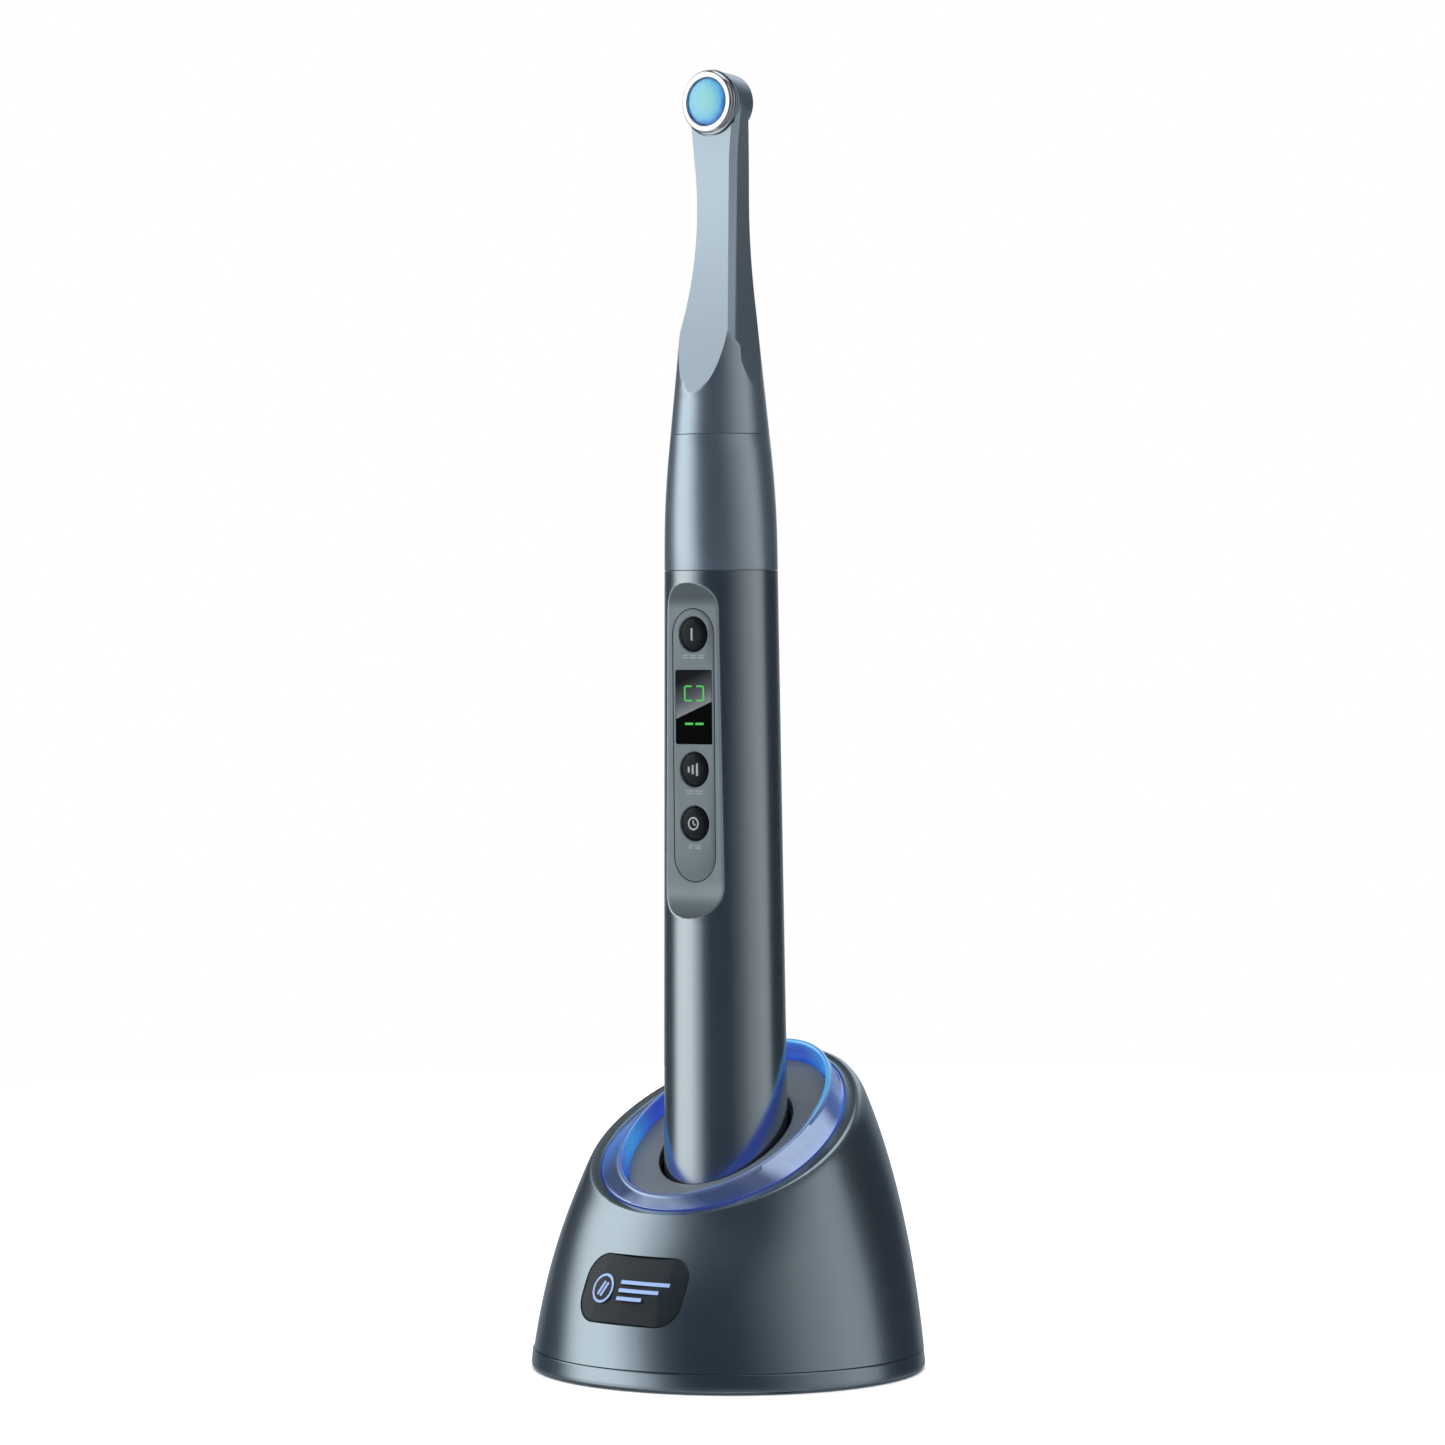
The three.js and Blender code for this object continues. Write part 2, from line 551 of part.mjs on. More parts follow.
function ballastPlate() {
  const ringAt = (x, y, z) => ringAngles.map((t) => [x * Math.cos(t), y * Math.sin(t), z]);
  const ring = skin([ringAt(32, 30, 4.1), ringAt(32, 30, 7.1), ringAt(14, 14, 7.1), ringAt(14, 14, 4.1)], true);
  return cut(ring, ...SCREW_AT.map((at) => rod(1.6, [0, 9], at, SMALL_ROUND)));
}

function lightRing() {
  const inner = { ...RING_TOP, x: 18.8, along: 23, shift: 0.7 };
  const foot = GAP - LEDGE;
  return skin([
    egg(RING_FOOT, foot), egg(RING_FOOT, 0), egg(RING_TOP, RING_HEIGHT - 0.25), egg(RING_TOP, RING_HEIGHT, -0.3),
    egg(RING_TOP, RING_HEIGHT, 0.3 - RING_WALL), egg(RING_TOP, RING_HEIGHT - 0.25, -RING_WALL),
    egg(inner, foot)], true);
}

function deckPlate() {
  const edge = { x: 18.4, along: 22.6, egg: 0.03, shift: 0.7 };
  return cut(skin([egg(edge, -1.9), egg(edge, -0.8)], false), rod(HOLE_R, [0, 90]));
}

function ringBoard() {
  const outer = { x: 21.5, along: 22.6, egg: 0.06, shift: 0.2 };
  const inner = { x: 17.2, along: 20.6, egg: 0.04, shift: 0.6 };
  return skin([egg(outer, -5.2), egg(outer, -4.2), egg(inner, -4.2), egg(inner, -5.2)], true);
}

function chargingWell() {
  const cup = turned(closed([
    [WELL_R, 4.1], [WELL_R + 1.3, 4.1], [WELL_R + 1.3, 60], [WELL_R, 60],
    [WELL_R, TAIL_Z - GAP], [7.4, TAIL_Z - GAP], [7.4, 9.7], [WELL_R, 9.7]]));
  const above = solid(new THREE.BoxGeometry(90, 90, 60)
    .translate(0, 0, 30 - LEDGE)
    .rotateX(TILT)
    .translate(0, 0, RIM_Z));
  return cut(cup, above);
}

function contactBlock() {
  return cut(rod(7.1, [8, 11.3], [0, 0], INNER_ROUND), ...PIN_X.map((x) => rod(1.45, [0, 20], [x, 0], SMALL_ROUND)));
}

const pinBarrel = (x) =>
  turned([[0, 7.6], [1.3, 7.6], [1.3, 10.6], [0.95, 10.6], [0.95, 8.1], [0, 8.1]], SMALL_ROUND)
    .translate(x, 0, 0);

const pinPlunger = (x) =>
  turned([[0, 9.5], [0.8, 9.5], [0.8, 11.3], [0.5, 11.65], [0, 11.75]], SMALL_ROUND).translate(x, 0, 0);

function inletSocket() {
  const outside = slab(INLET.wide, INLET.tall, INLET.tall / 2, [27.5, 33.6], INLET.z, 6);
  const inside = slab(INLET.wide - 1, INLET.tall - 1, INLET.tall / 2 - 0.5, [28.3, 40], INLET.z, 6);
  return cut(outside, inside);
}

function addBase(parent) {
  part("base_shell", baseShell(), shellPaint, parent);
  part("badge", badge(), blackPlastic, parent);
  part("bottom_plate", bottomPlate(), shellPaint, parent);
  FOOT_AT.forEach((at, i) => part("foot_" + (i + 1), rod(4.5, [0, 2], at, INNER_ROUND), rubber, parent));
  SCREW_AT.forEach((at, i) => part("plate_screw_" + (i + 1), plateScrew(at), steel, parent));
  part("ballast_plate", ballastPlate(), steel, parent);
  part("deck_plate", deckPlate(), deckPlastic, parent);
  part("light_ring", lightRing(), ringBlue, parent);
  part("ring_board", ringBoard(), boardGreen, parent);
  part("charging_well", chargingWell(), blackPlastic, parent);
  part("contact_block", contactBlock(), greyPlastic, parent);
  PIN_X.forEach((x, i) => {
    part("pin_barrel_" + (i + 1), pinBarrel(x), brass, parent);
    part("pin_plunger_" + (i + 1), pinPlunger(x), brass, parent);
  });
  part("charging_board", block([-13, 13], [15, 29.5], [7.6, 8.8]), boardGreen, parent);
  part("charger_chip", block([-8, -3], [17, 22], [8.9, 10.1]), blackPlastic, parent);
  part("inlet_socket", inletSocket(), steel, parent);
  part("inlet_tongue", block([-3.3, 3.3], [28.6, 32.8], [INLET.z - 0.35, INLET.z + 0.35]), blackPlastic, parent);
}

const curingLight = new THREE.Group();
const body = new THREE.Group();
const head = new THREE.Group();
const base = new THREE.Group();
curingLight.add(base, body, head);
addBase(base);
addBody(body);
addHead(head);

export default curingLight;
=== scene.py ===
"""Looks of a pen-style dental curing light in its charging base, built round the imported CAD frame.

Shapes are worked out in millimetres in the frame's own axes (+Z up, the lens and the panel face -Y)
and become metres when a mesh is made.
"""

import math  # noqa: E402

import bmesh  # noqa: E402
import bpy  # noqa: E402
import numpy as np  # noqa: E402
from mathutils import Matrix, Vector  # noqa: E402


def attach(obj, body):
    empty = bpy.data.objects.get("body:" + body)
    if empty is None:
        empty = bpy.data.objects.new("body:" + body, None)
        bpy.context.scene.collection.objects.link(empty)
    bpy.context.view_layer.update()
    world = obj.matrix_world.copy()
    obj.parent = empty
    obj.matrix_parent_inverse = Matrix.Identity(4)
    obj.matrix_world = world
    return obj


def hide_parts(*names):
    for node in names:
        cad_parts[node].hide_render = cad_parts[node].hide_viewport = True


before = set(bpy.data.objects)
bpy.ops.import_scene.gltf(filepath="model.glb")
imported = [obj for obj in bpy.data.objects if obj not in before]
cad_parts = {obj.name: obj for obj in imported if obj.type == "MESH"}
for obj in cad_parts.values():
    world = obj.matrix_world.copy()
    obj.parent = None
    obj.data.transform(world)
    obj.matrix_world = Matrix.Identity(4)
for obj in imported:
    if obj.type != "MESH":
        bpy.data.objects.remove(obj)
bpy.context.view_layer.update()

MM = 0.001
scene = bpy.context.scene

# ------------------------------ mesh tools


def tidy(obj, sharp=30, turn_out=True):
    """Merges doubled points, turns the faces outwards and shades smooth up to the sharp angle."""
    bm = bmesh.new()
    bm.from_mesh(obj.data)
    bmesh.ops.remove_doubles(bm, verts=bm.verts, dist=1e-6 if turn_out else 2e-7)
    if turn_out:
        bmesh.ops.dissolve_degenerate(bm, dist=8e-7, edges=bm.edges)
        bmesh.ops.recalc_face_normals(bm, faces=bm.faces)
    bm.to_mesh(obj.data)
    bm.free()
    obj.data.shade_smooth()
    obj.data.set_sharp_from_angle(angle=math.radians(sharp))
    return obj


def solid(name, points, faces, sharp=30):
    mesh = bpy.data.meshes.new(name)
    mesh.from_pydata([tuple(float(c) * MM for c in p) for p in points], [], faces)
    obj = bpy.data.objects.new(name, mesh)
    scene.collection.objects.link(obj)
    return tidy(obj, sharp)


def loft(name, rings, looped=False, caps=True, sharp=30):
    """A skin over rings of points. A looped skin meets its first ring again; any other is closed by caps."""
    n, m = len(rings), len(rings[0])
    points = [tuple(p) for ring in rings for p in ring]
    faces = []
    for i in range(n if looped else n - 1):
        a, b = i * m, ((i + 1) % n) * m
        faces += [(a + j, a + (j + 1) % m, b + (j + 1) % m, b + j) for j in range(m)]
    if not looped and caps:
        for ring, start in ((rings[0], 0), (rings[-1], (n - 1) * m)):
            points.append(tuple(np.mean(np.array(ring, float), axis=0)))
            centre = len(points) - 1
            faces += [(centre, start + j, start + (j + 1) % m) for j in range(m)]
    return solid(name, points, faces, sharp)


def soften(profile, size, looped=True, steps=3):
    """The profile with its corners rounded over by about size."""
    out = []
    n = len(profile)
    for i, point in enumerate(profile):
        b = np.array(point, float)
        if not looped and i in (0, n - 1):
            out.append(tuple(b))
            continue
        to_a = np.array(profile[i - 1], float) - b
        to_c = np.array(profile[(i + 1) % n], float) - b
        la, lc = np.linalg.norm(to_a), np.linalg.norm(to_c)
        if la < 1e-9 or lc < 1e-9 or np.dot(to_a, to_c) / (la * lc) < -0.985:
            out.append(tuple(b))
            continue
        start = b + to_a / la * min(size, 0.4 * la)
        end = b + to_c / lc * min(size, 0.4 * lc)
        for k in range(steps + 1):
            u = k / steps
            out.append(tuple((1 - u) ** 2 * start + 2 * u * (1 - u) * b + u * u * end))
    return out


def spin(name, profile, sides=160, axis="Z", at=(0, 0, 0), round_by=0, sharp=30):
    """Turned from (radius, height) pairs: a closed loop, or a line that starts and ends on the axis."""
    on_axis = profile[0][0] == 0 and profile[-1][0] == 0
    if round_by:
        profile = soften(profile, round_by, looped=not on_axis)
    turns = [2 * math.pi * j / sides for j in range(sides)]
    rings = []
    for r, h in profile:
        if axis == "Z":
            rings.append([(at[0] + r * math.cos(t), at[1] + r * math.sin(t), at[2] + h) for t in turns])
        else:
            rings.append([(at[0] + r * math.cos(t), at[1] + h, at[2] + r * math.sin(t)) for t in turns])
    return loft(name, rings, looped=not on_axis, caps=False, sharp=sharp)


def rounded(wide, tall, corner, n=12):
    """Outline of a rounded rectangle as (x, z) pairs, with the straight sides cut into short lengths."""
    x, y = wide / 2 - corner, tall / 2 - corner
    out = []
    for k, (cx, cy) in enumerate(((x, y), (-x, y), (-x, -y), (x, -y))):
        arc = [(k + i / n) * math.pi / 2 for i in range(n + 1)]
        out += [(cx + corner * math.cos(a), cy + corner * math.sin(a)) for a in arc]
    return out


def plate(name, wide, tall, corner, z, steps, n=12, sharp=30):
    """A rounded rectangle facing -Y, as a loft through (y, grow) steps."""
    rings = []
    for y, grow in steps:
        outline = rounded(wide + 2 * grow, tall + 2 * grow, max(corner + grow, 0.01), n)
        rings.append([(u, y, z + v) for u, v in outline])
    return loft(name, rings, sharp=sharp)


def box(name, xs, ys, zs, bevel=0.15):
    """A block with bevelled edges."""
    points = [(x, y, z) for x in xs for y in ys for z in zs]
    faces = [(0, 1, 3, 2), (4, 6, 7, 5), (0, 4, 5, 1), (2, 3, 7, 6), (0, 2, 6, 4), (1, 5, 7, 3)]
    obj = solid(name, points, faces)
    if bevel:
        bm = bmesh.new()
        bm.from_mesh(obj.data)
        bmesh.ops.bevel(bm, geom=bm.edges, offset=bevel * MM, segments=3, profile=0.5, affect="EDGES")
        bm.to_mesh(obj.data)
        bm.free()
        tidy(obj)
    return obj


def carve(obj, *tools, operation="DIFFERENCE", sharp=30):
    """Boolean with each tool in turn; the tools are removed afterwards."""
    for tool in tools:
        modifier = obj.modifiers.new("carve", "BOOLEAN")
        modifier.operation = operation
        modifier.solver = "EXACT"
        modifier.object = tool
        graph = bpy.context.evaluated_depsgraph_get()
        made = bpy.data.meshes.new_from_object(obj.evaluated_get(graph))
        obj.modifiers.clear()
        obj.data = made
        bpy.data.objects.remove(tool)
    obj.data.materials.clear()
    return tidy(obj, sharp, turn_out=False)


def merged(name, parts):
    """Several closed meshes as one object."""
    points, faces = [], []
    for part in parts:
        start = len(points)
        points += [tuple(v.co / MM) for v in part.data.vertices]
        faces += [tuple(start + i for i in p.vertices) for p in part.data.polygons]
        bpy.data.objects.remove(part)
    return solid(name, points, faces)


def inlay(name, strokes, place, top=0.03, bottom=0.06):
    """Flat marks laid into a surface. A stroke is (points, width, closed) in the surface's own u, v,
    and place(u, v, height) gives the point that stands height out of it."""
    points, faces = [], []
    for path, width, closed in strokes:
        line = [np.array(p, float) for p in path]
        n = len(line)
        start = len(points)
        for i, p in enumerate(line):
            before = line[i - 1] if closed or i else p
            after = line[(i + 1) % n] if closed or i < n - 1 else p
            along = after - before
            along = along / np.linalg.norm(along)
            side = np.array([-along[1], along[0]]) * width / 2
            for sign, height in ((-1, top), (1, top), (1, -bottom), (-1, -bottom)):
                points.append(place(*(p + sign * side), height))
        for i in range(n if closed else n - 1):
            a, b = start + 4 * i, start + 4 * ((i + 1) % n)
            faces += [(a + k, a + (k + 1) % 4, b + (k + 1) % 4, b + k) for k in range(4)]
        if not closed:
            last = start + 4 * (n - 1)
            faces += [tuple(start + k for k in range(4)), tuple(last + k for k in (3, 2, 1, 0))]
    return solid(name, points, faces, sharp=50)


def line(a, b, steps=6):
    return [(a[0] + (b[0] - a[0]) * k / steps, a[1] + (b[1] - a[1]) * k / steps) for k in range(steps + 1)]


def circle(centre, r, steps=40):
    turns = [2 * math.pi * k / steps for k in range(steps)]
    return [(centre[0] + r * math.cos(t), centre[1] + r * math.sin(t)) for t in turns]


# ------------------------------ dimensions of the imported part

TAIL_Z, CAP_TOP_Z, TUBE_TOP_Z, SEAM_Z = 12, 17, 148.5, 173.7
TAIL_R, TUBE_TOP_R, STRAIGHT_Z, SEAM_R, CONE_SLOPE = 11.6, 10.56, 40, 9.22, 0.1
FLAT_Y, FLAT_Z, SCOOP_R, INNER_FLAT_Y = -8.81, (89.85, 141.25), 8, -7.3
PANEL_Z, PANEL_HALF, SEAM, FINE_SEAM = (90.8, 141.5), 4.85, 0.15, 0.04
BUTTONS = {"power": 136.7, "mode": 111.7, "timer": 101.7}
BUTTON_R, BUTTON_PROUD = 3, 0.45
WINDOW_Z, WINDOW_WIDE, WINDOW_TALL = 123.25, 8.4, 13.7
HEAD_Z, BEZEL_Y, HEAD_FRONT_Y, HEAD_BACK_Y, LENS_R, ENVELOPE_R = 235.4, -3.44, -1.3, 4.5, 4.35, 5.81
NECK_BREAK, BREAK_TURN = 0.62, 68  # width and turn of the narrow flat beside the front one
BASE_X, BASE_Y, TILT, RIM_Z = 37.7, 35.3, math.radians(32), 44.1
SHELL_FOOT_Z, SHELL_WALL, LEDGE, GAP = 3.8, 2.2, 2.2, 0.3
RIM, RING_FOOT, RING_TOP = (26.1, 25.7, 0.09, 0), (23.6, 24.6, 0.1, 0.4), (19.6, 24.6, 0.03, 1.09)
RING_INNER, OPENING, DECK_EDGE = (18.8, 23, 0.03, 0.7), (17.4, 21.6, 0.04, 0.6), (18.4, 22.6, 0.03, 0.7)
BADGE_Z, BADGE_WIDE, BADGE_TALL, BADGE_CORNER = 17.4, 23, 11.8, 4.2
INLET_Z, INLET_WIDE, INLET_TALL = 11, 9.4, 3.6
WELL_R, HOLE_R = 12.1, 12.5
PIN_X = (0, -5.5, 5.5)
FOOT_AT = ((24, 17), (-24, 17), (-24, -17), (24, -17))
SCREW_AT = ((15, -24), (-15, -24), (0, 24))

# ------------------------------ materials


def node(tree, kind, values=None, feeds=None, **settings):
    """A new node with its settings, the values of its sockets and the outputs that feed them."""
    made = tree.nodes.new("ShaderNode" + kind)
    for key, value in settings.items():
        setattr(made, key, value)
    for key, value in (values or {}).items():
        made.inputs[key].default_value = value
    for key, source in (feeds or {}).items():
        tree.links.new(source, made.inputs[key])
    return made


def linear(code):
    """A hex colour as linear RGBA."""
    parts = [int(code[i : i + 2], 16) / 255 for i in (0, 2, 4)]
    return [c / 12.92 if c <= 0.04045 else ((c + 0.055) / 1.055) ** 2.4 for c in parts] + [1.0]


def scaled(colour, by):
    return [min(1.0, c * by) for c in colour[:3]] + [1.0]


def colour_ramp(tree, source, stops, interpolation="LINEAR"):
    """The colour output of a ramp over a value socket."""
    made = node(tree, "ValToRGB", feeds={"Fac": source})
    made.color_ramp.interpolation = interpolation
    elements = made.color_ramp.elements
    while len(elements) < len(stops):
        elements.new(0.5)
    for element, (position, colour) in zip(elements, stops):
        element.position = position
        element.color = colour
    return made.outputs["Color"]


def covered(tree, amount, under, over):
    """The colour socket under, covered with the plain colour over as far as the amount says."""
    mixed = node(tree, "Mix", {"B": over}, {"Factor": amount, "A": under}, data_type="RGBA")
    return mixed.outputs["Result"]


def smooth_step(tree, source, low, high, amount=1.0):
    """From 0 where the source is low to the amount where it is high."""
    values = {"From Min": low, "From Max": high, "To Max": amount}
    made = node(tree, "MapRange", values, {"Value": source}, interpolation_type="SMOOTHSTEP")
    return made.outputs["Result"]


def material(name, colour, rough=0.4, metallic=0.0, vary=0.1, patch=70, grain=2500, bump=0.06,
             stretch=(1, 1, 1), spread=0.08, specks=0.0, speck_colour=None, **sockets):
    """Colour that wanders between two shades, roughness with smudges and a fine surface grain."""
    made = bpy.data.materials.new(name)
    made.use_nodes = True
    tree = made.node_tree
    shader = tree.nodes["Principled BSDF"]
    link = tree.links.new
    where = node(tree, "TexCoord").outputs["Object"]
    mapping = node(tree, "Mapping", {"Scale": stretch}, {"Vector": where})
    stretched = mapping.outputs["Vector"]
    broad = node(tree, "TexNoise", {"Scale": patch, "Detail": 5, "Roughness": 0.6},
                 {"Vector": where})
    fine = node(tree, "TexNoise", {"Scale": grain, "Detail": 3}, {"Vector": stretched})
    blend = node(tree, "Mix", {"Factor": 0.5},
                 {"A": broad.outputs["Fac"], "B": fine.outputs["Fac"]}, data_type="FLOAT").outputs["Result"]
    shade = colour_ramp(tree, blend, [(0.3, scaled(colour, 1 - vary)), (0.72, scaled(colour, 1 + vary))])
    if specks:
        dots = node(tree, "TexVoronoi", {"Scale": grain * 0.5}, {"Vector": where})
        near = node(tree, "MapRange",
                    {"From Min": 0.0, "From Max": 0.42, "To Min": specks, "To Max": 0.0},
                    {"Value": dots.outputs["Distance"]})
        shade = covered(tree, near.outputs["Result"], shade, speck_colour or scaled(colour, 1.8))
    link(shade, shader.inputs["Base Color"])

    smudges = {"From Min": 0.25, "From Max": 0.75,
               "To Min": max(0.02, rough - spread), "To Max": rough + spread}
    dull = node(tree, "MapRange", smudges, {"Value": blend})
    link(dull.outputs["Result"], shader.inputs["Roughness"])
    raised = node(tree, "Bump", {"Strength": bump, "Distance": 0.00002},
                  {"Height": fine.outputs["Fac"]})
    link(raised.outputs["Normal"], shader.inputs["Normal"])
    shader.inputs["Metallic"].default_value = metallic
    for key, value in sockets.items():
        shader.inputs[key.replace("_", " ")].default_value = value
    return made


def ramp_into(made, socket, source, stops):
    """Drives a shader colour socket from a colour ramp over a value socket."""
    tree = made.node_tree
    tree.links.new(colour_ramp(tree, source, stops), tree.nodes["Principled BSDF"].inputs[socket])


def coordinate(made, expression):
    """A linear function of the object coordinates, a x + b y + c z + d in millimetres, as a socket."""
    tree = made.node_tree
    where = node(tree, "TexCoord").outputs["Object"]
    slope = [k / MM for k in expression[:3]]
    dot = node(tree, "VectorMath", {1: slope}, {0: where}, operation="DOT_PRODUCT")
    add = node(tree, "Math", {1: expression[3]}, {0: dot.outputs["Value"]}, operation="ADD")
    return add.outputs["Value"]


TUBE = material("satin_gunmetal", [0.40, 0.46, 0.505, 1], rough=0.24, metallic=0.97, vary=0.04, spread=0.03,
                grain=5200, bump=0.12, stretch=(1, 1, 0.25), patch=55)
HEAD = material("satin_slate", [0.425, 0.52, 0.6, 1], rough=0.3, metallic=0.9, vary=0.04, spread=0.03,
                grain=5200, bump=0.1, stretch=(1, 1, 0.3), patch=60)
SHELL = material("dome_paint", [0.358, 0.44, 0.5, 1], rough=0.24, metallic=0.97, vary=0.05, spread=0.03,
                 grain=3800, bump=0.1, patch=45)
RECESS = material("recess_satin", [0.15, 0.188, 0.208, 1], rough=0.34, metallic=0.9, vary=0.06, grain=4200,
                  bump=0.25, patch=120)
# Painted shade and highlight: the recess colour ramps along its height, darker at both scooped ends, with a
# painted highlight band in the lower scoop.
along_recess = coordinate(RECESS, (0, 0, 1 / 64, -84 / 64))
recess_painted_shade_and_highlight = ((0.0, 0.6), (0.035, 0.75), (0.07, 1.25), (0.12, 0.98), (0.2, 1.0), (0.9, 0.98),
                 (0.932, 0.66), (0.963, 0.95), (0.99, 0.8))
ramp_into(RECESS, "Base Color", along_recess,
          [(at, (0.168 * k, 0.21 * k, 0.232 * k, 1)) for at, k in recess_painted_shade_and_highlight])
PANEL = material("panel_satin", [0.2, 0.24, 0.26, 1], rough=0.45, metallic=0.85, vary=0.07, grain=3600,
                 bump=0.35, patch=140)
DECK = material("deck_plastic", linear("5a636b"), rough=0.33, vary=0.12, grain=2600, bump=0.6, specks=0.15)
WELL = material("well_plastic", linear("16181b"), rough=0.5, vary=0.2, grain=2200, bump=0.7)
BLACK = material("black_plastic", linear("17191c"), rough=0.42, vary=0.2, grain=2400, bump=0.7)
GLOSS = material("button_gloss", linear("10161a"), rough=0.2, vary=0.15, grain=1800, bump=0.1, spread=0.05,
                 Specular_IOR_Level=0.15)
BADGE = material("badge_gloss", linear("1a2126"), rough=0.3, vary=0.1, patch=40, grain=300, bump=0.02,
                 spread=0.02, Specular_IOR_Level=0.3)
GREY = material("grey_plastic", linear("6b7174"), rough=0.5, vary=0.1, grain=2400, bump=0.6)
CHROME = material("chrome", [0.78, 0.8, 0.82, 1], rough=0.07, metallic=1.0, vary=0.03, grain=900, bump=0.03,
                  spread=0.03, patch=150)
STEEL = material("steel", [0.42, 0.43, 0.44, 1], rough=0.3, metallic=1.0, vary=0.08, grain=2800, bump=0.25)
BRASS = material("brass", [0.66, 0.47, 0.18, 1], rough=0.26, metallic=1.0, vary=0.1, grain=2600, bump=0.25,
                 patch=300)
COPPER = material("copper", [0.66, 0.3, 0.17, 1], rough=0.3, metallic=1.0, vary=0.12, grain=2600, bump=0.25)
BOARD = material("board", linear("1e5b35"), rough=0.5, vary=0.18, grain=1400, bump=0.2, specks=0.25,
                 speck_colour=linear("8f8a4a"))
RUBBER = material("rubber", linear("1b1c1e"), rough=0.8, vary=0.2, grain=1800, bump=0.4)
CELL = material("cell_wrap", linear("2f5f9e"), rough=0.35, vary=0.1, grain=900, bump=0.08)
MARK = material("pale_mark", linear("9aa4aa"), rough=0.5, vary=0.1, grain=3000, bump=0.05)
LABEL = material("label_mark", linear("8d979c"), rough=0.55, vary=0.12, grain=3000, bump=0.05)
EMBLEM = material("emblem_blue", linear("8ea9d6"), rough=0.4, vary=0.08, grain=2600, bump=0.05)
SEGMENT = material("lit_segment", linear("2e9a3a"), rough=0.4, vary=0.12, grain=6000, bump=0.05,
                   Emission_Color=linear("45d84e"), Emission_Strength=0.32)

# Display glass: black, with a painted glare: a soft grey reflection painted into its colour above a slanting
# line.
GLASS = material("display_glass", linear("07090a"), rough=0.1, vary=0.3, grain=1500, bump=0.05, spread=0.03,
                 Specular_IOR_Level=0.015)
painted_glare_edge = coordinate(GLASS, (-0.39 / 8, 0, 1.0 / 8, -122.6 / 8))
ramp_into(GLASS, "Base Color", painted_glare_edge, [
    (0.0, linear("030404")), (0.012, linear("7b8084")), (0.35, linear("4c5154")), (0.8, linear("17191b"))])

# Lens: painted shading, pale cyan in the middle and deep blue towards its rim, with the emitter's mottling
# behind it, and a weak painted glow in the same colours.
LENS = material("lens_glass", linear("74c4dd"), rough=0.12, vary=0.1, grain=700, bump=0.02, spread=0.04,
                Coat_Weight=0.8, Coat_Roughness=0.05)


def lens_painted_shade_and_glow():
    tree = LENS.node_tree
    where = node(tree, "TexCoord").outputs["Object"]
    flat = node(tree, "VectorMath", {1: (1 / MM, 0, 1 / MM)}, {0: where}, operation="MULTIPLY")
    away = node(tree, "VectorMath", {1: (-0.25, 0, HEAD_Z + 0.3)}, {0: flat.outputs["Vector"]},
                operation="DISTANCE")
    mottle = node(tree, "TexNoise", {"Scale": 330, "Detail": 2}, {"Vector": where})
    share = node(tree, "Math", {1: 1.3}, {0: mottle.outputs["Fac"], 2: away.outputs["Value"]},
                 operation="MULTIPLY_ADD")
    scale = node(tree, "Math", {1: 1 / 5.7}, {0: share.outputs["Value"]}, operation="MULTIPLY")
    codes = ((0.0, "80c6c4"), (0.5, "7cc4d0"), (0.74, "68b6dc"), (0.88, "3f80c8"), (0.99, "2c5aa6"))
    for socket in ("Base Color", "Emission Color"):
        ramp_into(LENS, socket, scale.outputs["Value"], [(at, linear(code)) for at, code in codes])
    # painted glow: the lens gives off a little light of its own in these colours
    tree.nodes["Principled BSDF"].inputs["Emission Strength"].default_value = 0.13


lens_painted_shade_and_glow()

# Light ring: glossy blue outside and a deeper blue inside. Both get a glow of their own further down.
RING = material("ring_acrylic", [0.32, 0.39, 0.5, 1], rough=0.13, metallic=0.9, vary=0.1, grain=500,
                bump=0.06, spread=0.04)
RING_INSIDE = material("ring_inner_wall", [0.1, 0.15, 0.42, 1], rough=0.2, metallic=0.6, vary=0.1, grain=500,
                       bump=0.06, spread=0.04)

# ------------------------------ shared curves


def tube_radius(z):
    return TAIL_R + (TUBE_TOP_R - TAIL_R) * max(0, z - STRAIGHT_Z) / (TUBE_TOP_Z - STRAIGHT_Z)


def cone_radius(z):
    return SEAM_R - CONE_SLOPE * (z - SEAM_Z)


def bend(a, b, c, steps):
    """Points of a quadratic curve from a to c that leans towards b."""
    out = []
    for i in range(steps + 1):
        u = i / steps
        out.append(tuple((1 - u) ** 2 * p + 2 * u * (1 - u) * q + u * u * r for p, q, r in zip(a, b, c)))
    return out


# ------------------------------ handpiece body


def recess_floor(z):
    """Where the flat recess and its two round ends lie, as a y; far outside the tube beyond them."""
    low, high = FLAT_Z
    past = max(low - z, z - high, 0)
    if past >= SCOOP_R:
        return -99
    return FLAT_Y - SCOOP_R + math.sqrt(SCOOP_R**2 - past**2)


def tube_section(z, inset=0):
    """One ring of the tube: the recess as a chord with a fine chamfer at each side, then the round."""
    r = tube_radius(z) - inset
    floor = recess_floor(z)
    edge = math.acos(min(1, -floor / r)) if -floor < r else 0
    half = r * math.sin(edge)
    chamfer = min(0.3, 0.45 * half)
    start = edge + chamfer / r
    inner = half - 0.7 * chamfer
    y = floor if edge else -r
    ring = [(inner * (2 * k / 20 - 1), y, z) for k in range(21)]
    count = 150
    for k in range(count + 1):
        a = start + (2 * math.pi - 2 * start) * k / count
        ring.append((r * math.sin(a), -r * math.cos(a), z))
    return ring


def recess_tip(low, high):
    """The height between low and high where the recess just leaves the tube's surface."""
    inside_first = -recess_floor(low) < tube_radius(low)
    for _ in range(50):
        middle = (low + high) / 2
        if (-recess_floor(middle) < tube_radius(middle)) == inside_first:
            low = middle
        else:
            high = middle
    return (low + high) / 2


